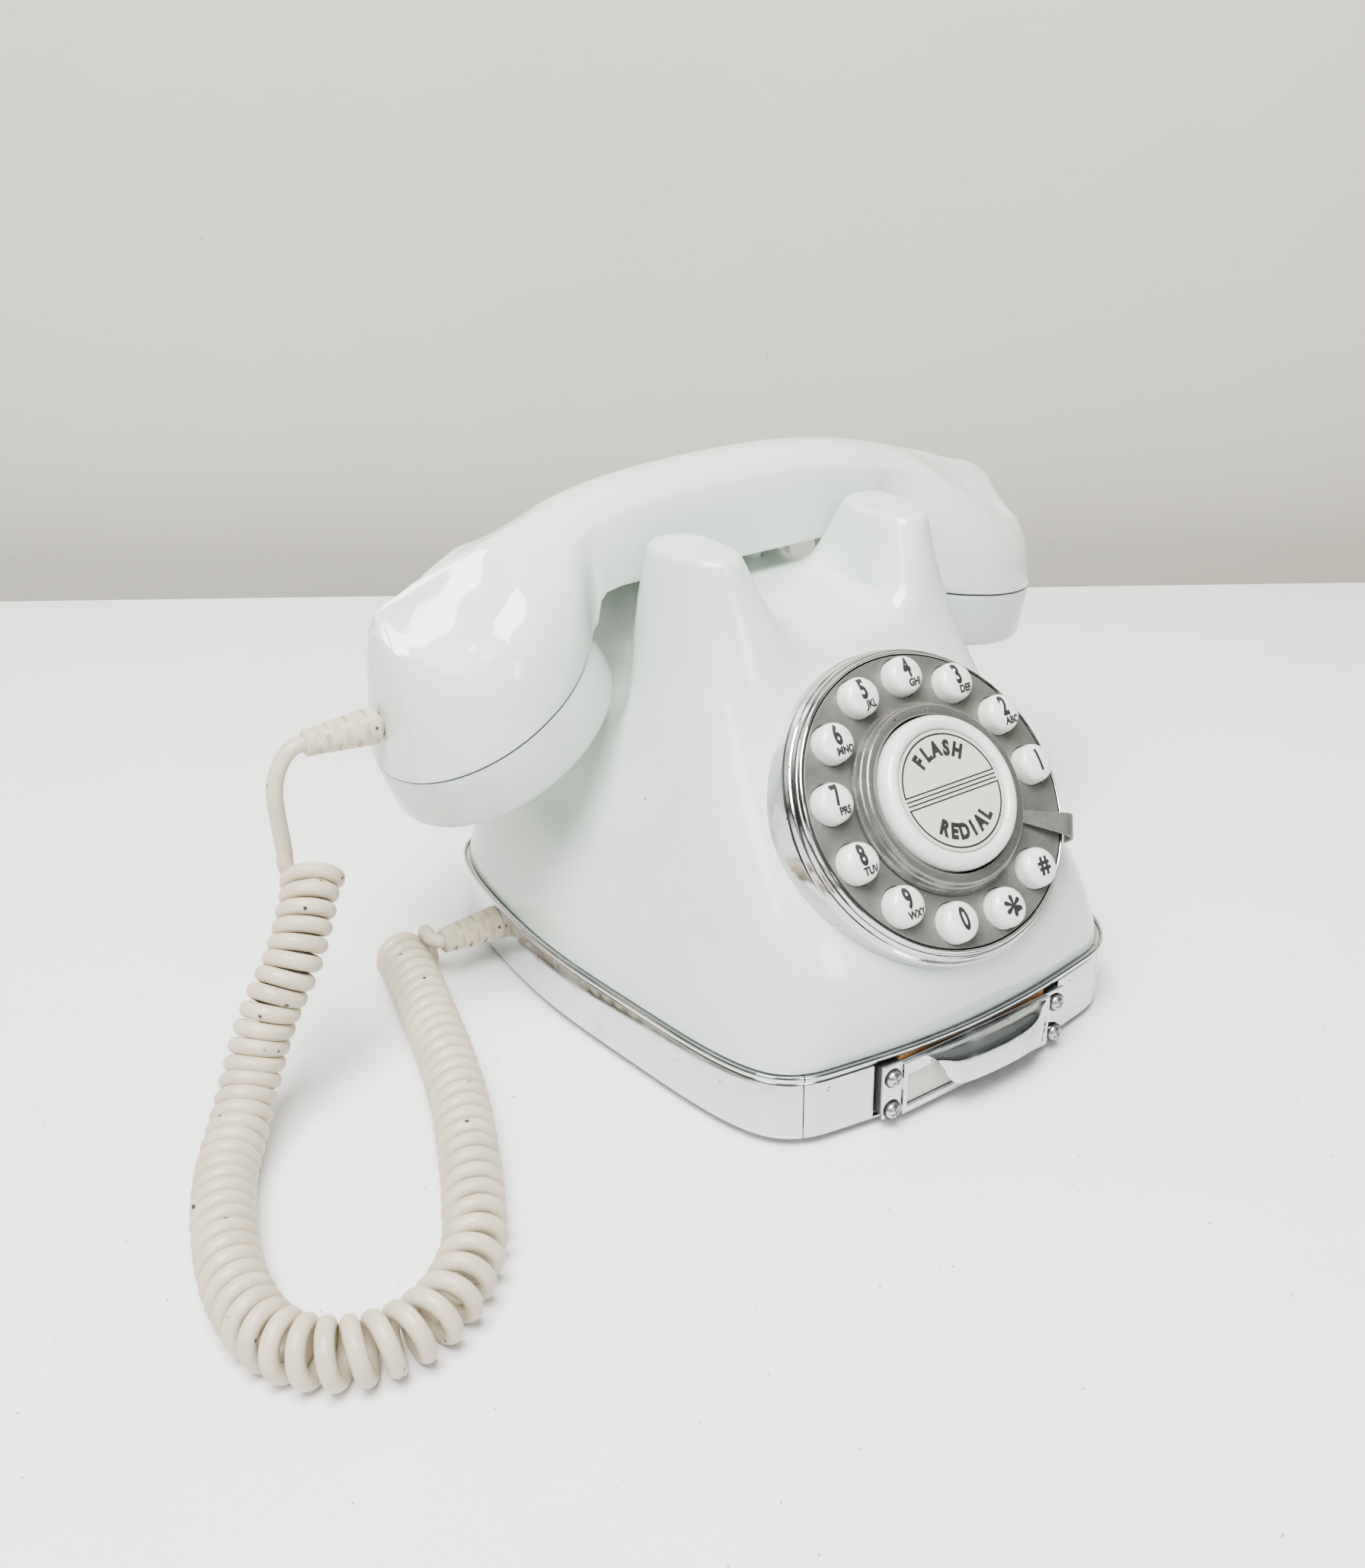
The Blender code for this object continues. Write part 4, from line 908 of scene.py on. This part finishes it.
LETTERS = {"1": "", "2": "ABC", "3": "DEF", "4": "GHI", "5": "JKL", "6": "MNO", "7": "PRS", "8": "TUV",
           "9": "WXY",
           "0": "", "star": "", "hash": ""}


def key_profile():
    return ((0, 3.1), (1.3, 3.07), (2.5, 2.96), (3.4, 2.78), (4.1, 2.5), (4.6, 2.1), (4.95, 1.6), (5.17, 0.9),
            (5.3, 0.0), (5.4, -3.7), (6.0, -3.7), (6.0, -4.7), (0, -4.7))


def add_keys():
    for index, name in enumerate(KEY_NAMES):
        u, v = key_spot(index)
        body = f"key_{name}"
        add(f"cap_{name}", revolve("cap", key_profile(), 48, False), body, "key_white_plastic", (body,),
            dial_place(u, v, 0), (DIAL_TURN_DEG, 0, 0), 50)
        words = LETTERS[name]
        dome = (u, v)
        if name == "star":
            mark = letter("mark_star", "*", 12.0, u, v - 2.6, 0.05, 0, 1.0, 0.22, dome)
        elif name == "hash":
            mark = letter("mark_hash", "#", 6.2, u, v, 0.05, 0, 0.95, 0.26, dome)
        elif words:
            mark = letter(f"mark_{name}", name, 7.4, u - 0.3, v + 1.2, 0.05, 0, 0.6, 0.3, dome)
            small = letter(f"letters_{name}", words, 2.7, u + 0.8, v - 2.85, 0.05, 0, 0.86, 0.15, dome)
            show(small, body, "key_white_plastic")
        else:
            mark = letter(f"mark_{name}", name, 8.0, u, v, 0.05, 0, 0.6, 0.3, dome)
        show(mark, body, "key_white_plastic")


def arc_word(name, words, size, radius, middle_deg, step_deg, w, inward):
    """Letters standing round an arc on the card, each its own mark."""
    for place, character in enumerate(words):
        angle = middle_deg + (place - (len(words) - 1) / 2) * step_deg
        u, v = radius * math.cos(math.radians(angle)), radius * math.sin(math.radians(angle))
        spin = angle - 90 if inward else angle + 90
        made = letter(f"{name}_{place}", character, size, u, v, w, spin, 0.78, 0.36)
        show(made, "centre_rocker", "ivory_card")


def flat_ring(inner, outer, start_deg, end_deg, height=0.06, steps=64):
    """A thin flat arc of ink, as points round a closed strip."""
    points, faces = [], []
    for step in range(steps + 1):
        angle = math.radians(start_deg + (end_deg - start_deg) * step / steps)
        for radius in (inner, outer):
            points.append((radius * math.cos(angle), radius * math.sin(angle), height))
    for step in range(steps):
        a = 2 * step
        faces.append((a, a + 1, a + 3, a + 2))
    return points, faces


def add_dial():
    turn = (DIAL_TURN_DEG, 0, 0)
    bezel = ((39.7, -2.5), (39.78, -2.2), (39.95, -2.08), (40.2, -2.08), (40.42, -2.25), (40.6, -2.7),
             (40.75, -3.2),
             (40.95, -3.38), (41.25, -3.42), (41.4, -3.7), (41.55, -4.4), (41.75, -4.75), (42.1, -4.95),
             (42.3, -5.5),
             (42.45, -6.5), (42.62, -6.95), (42.9, -7.25), (43.05, -8.5), (43.45, -18), (42.4, -18),
             (41.2, -9.4),
             (39.7, -9.4))
    add_ring("bezel", bezel, BEZEL_CHROME, "chrome_plate", "dial_bezel", 30)
    plate = put("face_plate",
                revolve("plate", ((21.0, -2.06), (39.2, -2.06), (39.3, -2.16), (39.3, -3.4), (21.0, -3.4)),
                                      120, True), FINISH["satin_grey_metal"], dial_place(0, 0, 0), turn)
    for index in range(len(KEY_NAMES)):
        u, v = key_spot(index)
        shape(plate, cylinder_mesh("key_hole", 5.72, 6, 48), dial_place(u, v, -2.7), turn)
    show(plate, "telephone_base", "satin_grey_metal", "dial_face_plate")
    ring = ((21.2, 2.5), (21.35, 2.85), (21.6, 3.0), (22.6, 3.05), (23.5, 3.0), (23.95, 2.8), (24.2, 2.4),
            (24.35, 1.5),
            (24.55, 1.05), (24.85, 0.85), (25.0, 0.4), (25.1, -0.3), (25.35, -0.65), (25.8, -0.8),
            (25.95, -1.3),
            (25.8, -1.7), (21.2, -1.7))
    add_ring("centre_ring", ring, RING_METAL, "satin_grey_metal", "dial_centre_ring", 35)
    dial = (dial_place(0, 0, 0), turn)
    rocker = ((0, 4.6), (16.45, 4.6), (16.5, 5.3), (16.7, 5.75), (17.1, 6.1), (17.7, 6.38), (18.4, 6.45),
              (19.1, 6.2),
              (19.7, 5.75), (20.15, 5.1), (20.45, 4.3), (20.6, 3.0), (20.62, 1.5), (20.4, -1.0), (0, -1.2))
    add("rocker", revolve("rocker", rocker, 120, False), "centre_rocker", "key_white_plastic",
        ("centre_rocker",),
        *dial, 55)
    card = ((0, 5.25), (16.05, 5.25), (16.1, 5.2), (16.1, 4.9), (0, 4.9))
    add("card", revolve("card", card, 96, False), "centre_rocker", "ivory_card", ("centre_card",), *dial)
    for name, start, end in (("upper", 5.5, 174.5), ("lower", 185.5, 354.5)):
        points, faces = flat_ring(14.8, 15.3, start, end)
        made = put(f"line_{name}", mesh_from("line", points, faces), INK, dial_place(0, 0, 5.24), turn)
        show(made, "centre_rocker", "ivory_card")
    for place, v in enumerate((1.65, 0.55, -0.55, -1.65)):
        half = math.sqrt(15.1**2 - v**2)
        strip = box_mesh("strip", (-half, v - 0.2, 0.0), (half, v + 0.2, 0.05))
        made = put(f"strip_{place}", strip, INK, dial_place(0, 0, 5.25), turn)
        show(made, "centre_rocker", "ivory_card")
    arc_word("flash", "FLASH", 5.4, 11.1, 90, -17.5, 5.29, True)
    arc_word("redial", "REDIAL", 5.4, 11.1, 270, 16.0, 5.29, False)


def add_finger_stop():
    """A bent strip of metal, thin, with softened edges."""
    across = math.radians(-28.0)
    line = smooth_route(((26.2, -1.6, 1.7), (31, -0.9, 2.2), (36, -0.1, 2.7), (38.8, 0.35, 3.1),
                         (40.4, 0.3, 3.3),
                         (41.5, -0.4, 3.4), (42.0, -1.9, 3.4), (42.1, -4.2, 3.4)), 22)
    rings = []
    for step, (reach, height, half) in enumerate(line):
        before, after = line[max(step - 1, 0)], line[min(step + 1, len(line) - 1)]
        slope = Vector((after[0] - before[0], after[1] - before[1])).normalized()
        lift = Vector((-slope.y, slope.x)) * 0.85
        ring = []
        for side, level in ((-1, 0), (1, 0), (1, 1), (-1, 1)):
            r, w = reach + lift.x * level, height + lift.y * level
            ring.append((r * math.cos(across) - side * half * math.sin(across),
                         r * math.sin(across) + side * half * math.cos(across), w))
        rings.append(ring)
    made = put("stop", loft("stop", rings), FINISH["satin_grey_metal"], dial_place(0, 0, 0),
               (DIAL_TURN_DEG, 0, 0))
    round_edges(made, 0.2, 2, 40)
    show(made, "telephone_base", "satin_grey_metal", "finger_stop")


add_dial()
add_finger_stop()
add_keys()


# ---- handset


def fill_in(values, xs, wanted):
    """Values along xs carried to the wanted places by a curve that never overshoots."""
    values, xs = np.asarray(values, float), np.asarray(xs, float)
    steps = np.diff(xs)
    slopes = np.diff(values) / steps
    tangents = np.zeros_like(values)
    tangents[0], tangents[-1] = slopes[0], slopes[-1]
    for place in range(1, len(xs) - 1):
        a, b = slopes[place - 1], slopes[place]
        if a * b > 0:
            w1, w2 = 2 * steps[place] + steps[place - 1], steps[place] + 2 * steps[place - 1]
            tangents[place] = (w1 + w2) / (w1 / a + w2 / b)
    at = np.clip(np.searchsorted(xs, wanted) - 1, 0, len(xs) - 2)
    t = (wanted - xs[at]) / steps[at]
    h = steps[at]
    return ((1 + 2 * t) * (1 - t)**2 * values[at] + t * (1 - t)**2 * h * tangents[at]
            + t * t * (3 - 2 * t) * values[at + 1] + t * t * (t - 1) * h * tangents[at + 1])


def fine_rings():
    """The handset's sections, close together where its ends turn under."""
    table = np.array(((-110.79, 0.5, 119.2, 0.0), *SHOULDERS, (117.38, 0.5, 93.6, 0.0)))
    table[:, 3] = np.where(table[:, 3] > 0.6, table[:, 3] * 1.3, table[:, 3])
    xs = table[:, 0]
    wanted = [middle + reach * math.cos(math.radians(angle)) for angle in (0.5, 2, 4, 6.5, 9, 12, 15.5, 19,
                                                                           23, 28)
              for middle, reach in ((MOUTH_CENTRE[0], -29.79), (EAR_CENTRE[0], 32.58))]
    for a, b in zip(xs[1:-1], xs[2:-1]):
        parts = max(2, math.ceil((b - a) / (1.5)))
        wanted.extend(a + (b - a) * k / parts for k in range(parts))
    wanted = np.array(sorted(set(round(x, 3) for x in wanted)))
    wanted = wanted[np.concatenate([[True], np.diff(wanted) > 0.06])]
    columns = [fill_in(table[:, k], xs, wanted) for k in (1, 2, 3)]
    fine = []
    for station in zip(wanted, *columns):
        ring = shell_section(tuple(float(v) for v in station))
        shoulder, count = len(SIDE_STEPS), len(ring)
        points = []
        for first, last in ((0, shoulder), (shoulder, count - 1 - shoulder),
                            (count - 1 - shoulder, count - 1)):
            points.extend(smooth_route(ring[first:last + 1], (last - first) * 3 + 1)[:-1])
        points.append(ring[-1])
        fine.append(points)
    return fine


def add_handset():
    made = put("handset_body", loft("handset_body", fine_rings()), FINISH["glossy_white_plastic"])
    for centre, tilt, radius in ((MOUTH_CENTRE, MOUTH_TILT_DEG, MOUTH_RADIUS),
                                 (EAR_CENTRE, EAR_TILT_DEG, EAR_RADIUS)):
        turn, along = cup_frame(centre, tilt)
        shape(made, cylinder_mesh("pocket", radius - 5, 16, 64), along(0), turn)
        shape(made, cylinder_mesh("deep_pocket", 18, 40, 48), along(0), turn)
        shape(made, cylinder_mesh("wire_well", 4.5, 24, 24), (math.copysign(80, centre[0]), HANDSET_Y, 119))
    shape(made, cylinder_mesh("wire_channel", 3.5, 164, 24), (0, HANDSET_Y, 129), (0, 90, 0))
    shape(made, cylinder_mesh("relief_hole", 3.4, 16, 32), (-112, HANDSET_Y, RELIEF_Z), (0, 90, 0))
    round_edges(made, 0.5, 3, 32)
    show(made, "handset", "glossy_white_plastic", "handset_shell")


def cap_outline(radius, depth, flare):
    rim = radius + flare
    round_part = [(rim - 2.2 + 2.2 * math.sin(math.radians(a)), depth - 2.2 + 2.2 * math.cos(math.radians(a)))
                  for a in range(0, 91, 15)]
    return ((0, depth - 1.8), (rim - 12, depth - 1.8), (rim - 8.5, depth - 1.5), (rim - 6.5, depth - 0.8),
            (rim - 4.5, depth - 0.15), *round_part, (radius + 0.05, 1.0), (radius - 0.1, 0.72),
            (radius - 0.5, 0.6),
            (radius - 3, 0.6), (rim - 3.4, depth - 5.4), (rim - 6, depth - 4.4), (0, depth - 4.6))


def add_caps():
    for name, centre, tilt, radius, depth, flare, slope in (
            ("mouth", MOUTH_CENTRE, MOUTH_TILT_DEG, MOUTH_RADIUS, 16.8, 1.0, 0.13),
            ("ear", EAR_CENTRE, EAR_TILT_DEG, EAR_RADIUS, 17.5, -0.6, 0.0)):
        turn, _ = cup_frame(centre, tilt)
        mesh = lean(revolve(f"{name}_cover", cap_outline(radius, depth, flare), 128, False), slope)
        made = put(f"{name}_cover", mesh, FINISH["pale_grey_plastic"], centre, turn, 40)
        holes = [(0.0, 0.0)] + [(8.5 * math.cos(math.tau * k / 6),
                                 8.5 * math.sin(math.tau * k / 6)) for k in range(6)]
        for u, v in holes:
            drill = cylinder_mesh("sound_hole", 1.1, 12, 16)
            drill.transform(Matrix.Translation(((u + slope * depth) * MM, v * MM, (depth - 3) * MM)))
            shape(made, drill, centre, turn)
        smooth(made.data, 40)
        show(made, "handset", "pale_grey_plastic", f"{name}_cap")
        # The near-black ring in the groove round each cap is painted shade: the groove's own walls are white.
        groove = ((radius - 0.3, -0.1), (radius - 0.3, 0.62), (radius - 2.9, 0.62), (radius - 2.9, -0.1))
        groove_shade = put(f"{name}_groove", revolve("groove", groove[::-1], 96, True), DARK_GAP, centre, turn)
        show(groove_shade, "handset", "pale_grey_plastic")


add_handset()
add_caps()


# ---- drawer and its pull


def hood_section():
    return ((-87.6, 19.1), (-90.2, 18.6), (-92.3, 17.0), (-93.5, 14.4), (-93.9, 11.2), (-93.6, 8.9))


def hood_sheet():
    """The pull's curved hood as a thin closed sheet, filled in smoothly both ways."""
    stations = ((-20.0, 0.55, 8.5), (-14.0, 0.8, 4.0), (-7.0, 0.94, 1.0), (3.0, 1.0, 0.0), (12.0, 0.94, 0.0),
                (19.0, 0.72, 0.0), (24.3, 0.2, 0.0))
    root_y = hood_section()[0][0]
    rows = []
    for x, bow, slant in stations:
        row = []
        for step, (y, z) in enumerate(hood_section()):
            share = step / (len(hood_section()) - 1)
            row.append((x + slant * share, root_y + (y - root_y) * bow, z))
        rows.append(smooth_route(row, 22))
    columns = [smooth_route([row[k] for row in rows], 44) for k in range(22)]
    count, wide = 44, 22
    outer = [columns[k][r] for r in range(count) for k in range(wide)]
    inner = [(x, y + 0.55 * min(1.0, (i % wide) / (wide - 1) + 0.35),
              z - 0.55 * (1 - (i % wide) / (wide - 1)))
             for i, (x, y, z) in enumerate(outer)]
    total = len(outer)
    faces = []
    for r in range(count - 1):
        for k in range(wide - 1):
            a, b = r * wide + k, (r + 1) * wide + k
            faces.append((a, a + 1, b + 1, b))
            faces.append((total + a, total + b, total + b + 1, total + a + 1))
        a, b = r * wide, (r + 1) * wide
        faces.append((a, b, total + b, total + a))
        a, b = a + wide - 1, b + wide - 1
        faces.append((b, a, total + a, total + b))
    for k in range(wide - 1):
        faces.append((k + 1, k, total + k, total + k + 1))
        a = (count - 1) * wide + k
        faces.append((a, a + 1, total + a + 1, total + a))
    return mesh_from("hood", outer + inner, faces)


def add_pull():
    low, high = PULL_FACE_Y, PULL_FACE_Y + 1.0
    made = put("pull", box_mesh("pull", (-32.3, low, 3.7), (32.3, high, 19.6)), FINISH["chrome_plate"])
    shape(made, box_mesh("frame", (-26.2, low - 0.9, 3.4), (26.2, high - 0.3, 19.1)), operation="UNION")
    shape(made, box_mesh("window", (-24.8, -95, 5.3), (24.8, -80, 15.3)))
    round_edges(made, 0.22, 3, 40)
    show(made, "drawer", "chrome_plate", "drawer_pull")
    add("hood", hood_sheet(), "drawer", "chrome_plate", angle_deg=50)
    board = box_mesh("board", (-DRAWER_HALF_WIDTH, -85.7, 4.4), (DRAWER_HALF_WIDTH, -82.9, 18.6))
    add("board", board, "drawer", "black_plastic", ("drawer_front",))
    add("board_top", box_mesh("board_top", (-26, -85.7, 18.6), (25.6, -82.9, 20.2)), "drawer", "brown_board")
    card = box_mesh("name_card", (-24.4, low + 0.1, 5.7), (24.4, high, 14.9))
    add("name_card", card, "drawer", "ivory_card", ("label_card",))
    head = ((0, 1.7), (0.7, 1.65), (1.3, 1.45), (1.8, 1.1), (2.15, 0.6), (2.25, 0.25), (2.0, 0.2),
            (2.0, -0.4), (0, -0.4))
    collar = ((2.05, 0.22), (2.62, 0.2), (2.68, 0.1), (2.68, 0.0), (2.05, 0.0))
    for side, level in itertools.product((0, 1), (1, 0)):
        name = ("lower", "upper")[level] + ("_left", "_right")[side]
        place = ((-PULL_SCREW_X, PULL_SCREW_X)[side], low - 0.3, PULL_SCREW_HEIGHTS[level])
        screw = put(f"screw_{name}", revolve("screw", head, 32, False), FINISH["steel"], place, (90, 0, 0))
        for spin in (20, 110):
            groove = box_mesh("groove", (-1.5, -0.24, 1.0), (1.5, 0.24, 3.0))
            groove.transform(turned(spin))
            shape(screw, groove, place, (90, 0, 0))
        smooth(screw.data, 35)
        show(screw, "drawer", "steel", f"pull_screw_{name}")
        ring = put(f"screw_ring_{name}", revolve("collar", collar, 32, True), DARK_GAP, place, (90, 0, 0))
        show(ring, "drawer", "steel")


add_pull()


# ---- pieces shown as they were modelled


def dress_plain_pieces():
    slots = {part["node"]: part["material_slot"] for part in frame["record"]["subparts"]}
    for name, made in frame["nodes"].items():
        if made.hide_render:
            continue
        made.data.materials.clear()
        made.data.materials.append(FINISH[slots[name]])
        smooth(made.data, 35)


dress_plain_pieces()


# ---- floor and lights


def add_stage():
    """A pale table top whose far edge runs across the view, and a plain backdrop beyond it."""
    left, right = Vector((-126.4, 460.4)), Vector((430.1, 91.7))
    along = (right - left).normalized()
    away = Vector((-along.y, along.x))
    middle = (left + right) / 2
    corners = [middle + along * a + away * b for a,
               b in ((-1500, -1600), (1500, -1600), (1500, 0), (-1500, 0))]
    points = [(p.x, p.y, z) for z in (-12, 0) for p in corners]
    faces = [(3, 2, 1, 0), (4, 5, 6, 7), (0, 1, 5, 4), (1, 2, 6, 5), (2, 3, 7, 6), (3, 0, 4, 7)]
    floor = put("floor", mesh_from("floor", points, faces),
                grained("finish_floor", (0.83, 0.83, 0.84), (0.79, 0.79, 0.80), 0.42, EVEN, 8))
    back = [middle + along * a + away * b for a, b in ((-3500, 60), (3500, 60), (3500, 80), (-3500, 80))]
    points = [(p.x, p.y, z) for z in (-600, 2200) for p in back]
    wall = put("wall", mesh_from("wall", points, faces),
               grained("finish_wall", (0.50, 0.475, 0.40), (0.47, 0.445, 0.375), 0.9, EVEN, 3))


def add_light(name, place, aim, size, energy, colour=(1, 1, 1), wide=None):
    data = bpy.data.lights.new(name, "AREA")
    data.energy = energy
    data.color = colour
    data.shape = "RECTANGLE"
    data.size = size
    data.size_y = wide or size
    made = bpy.data.objects.new(name, data)
    made.location = place
    made.rotation_euler = (Vector(aim) - Vector(place)).to_track_quat("-Z", "Y").to_euler()
    STAGE.objects.link(made)


def add_world():
    """A soft room: bright above, grey towards the horizon, and darkest at and below it."""
    world = bpy.data.worlds.new("room")
    bpy.context.scene.world = world
    world.use_nodes = True
    tree = world.node_tree
    place = tree.nodes.new("ShaderNodeTexCoord")
    split = tree.nodes.new("ShaderNodeSeparateXYZ")
    tree.links.new(place.outputs["Generated"], split.inputs[0])
    ramp = tree.nodes.new("ShaderNodeValToRGB")
    ramp.color_ramp.elements[0].position = 0.0
    ramp.color_ramp.elements[0].color = (0.16, 0.17, 0.165, 1)
    ramp.color_ramp.elements[1].position = 0.85
    ramp.color_ramp.elements[1].color = (0.95, 0.98, 0.97, 1)
    for position, level in ((0.12, 0.2), (0.2, 0.42), (0.42, 0.5), (0.5, 0.8)):
        step = ramp.color_ramp.elements.new(position)
        step.color = (level * 0.97, level, level * 0.985, 1)
    tree.links.new(split.outputs["Z"], ramp.inputs[0])
    tree.links.new(ramp.outputs[0], tree.nodes["Background"].inputs[0])
    tree.nodes["Background"].inputs[1].default_value = 0.34


add_stage()
add_world()
add_light("overhead", (-0.42, -0.3, 1.2), (0.0, 0.0, 0), 0.7, 58, (1.0, 1.0, 0.99))
add_light("left", (-1.15, -0.45, 0.95), (0, 0, 0.06), 0.5, 7, (0.98, 1.0, 1.0))
add_light("front", (-0.3, -1.4, 0.75), (0, 0, 0.06), 0.4, 6, (1.0, 0.99, 0.97))
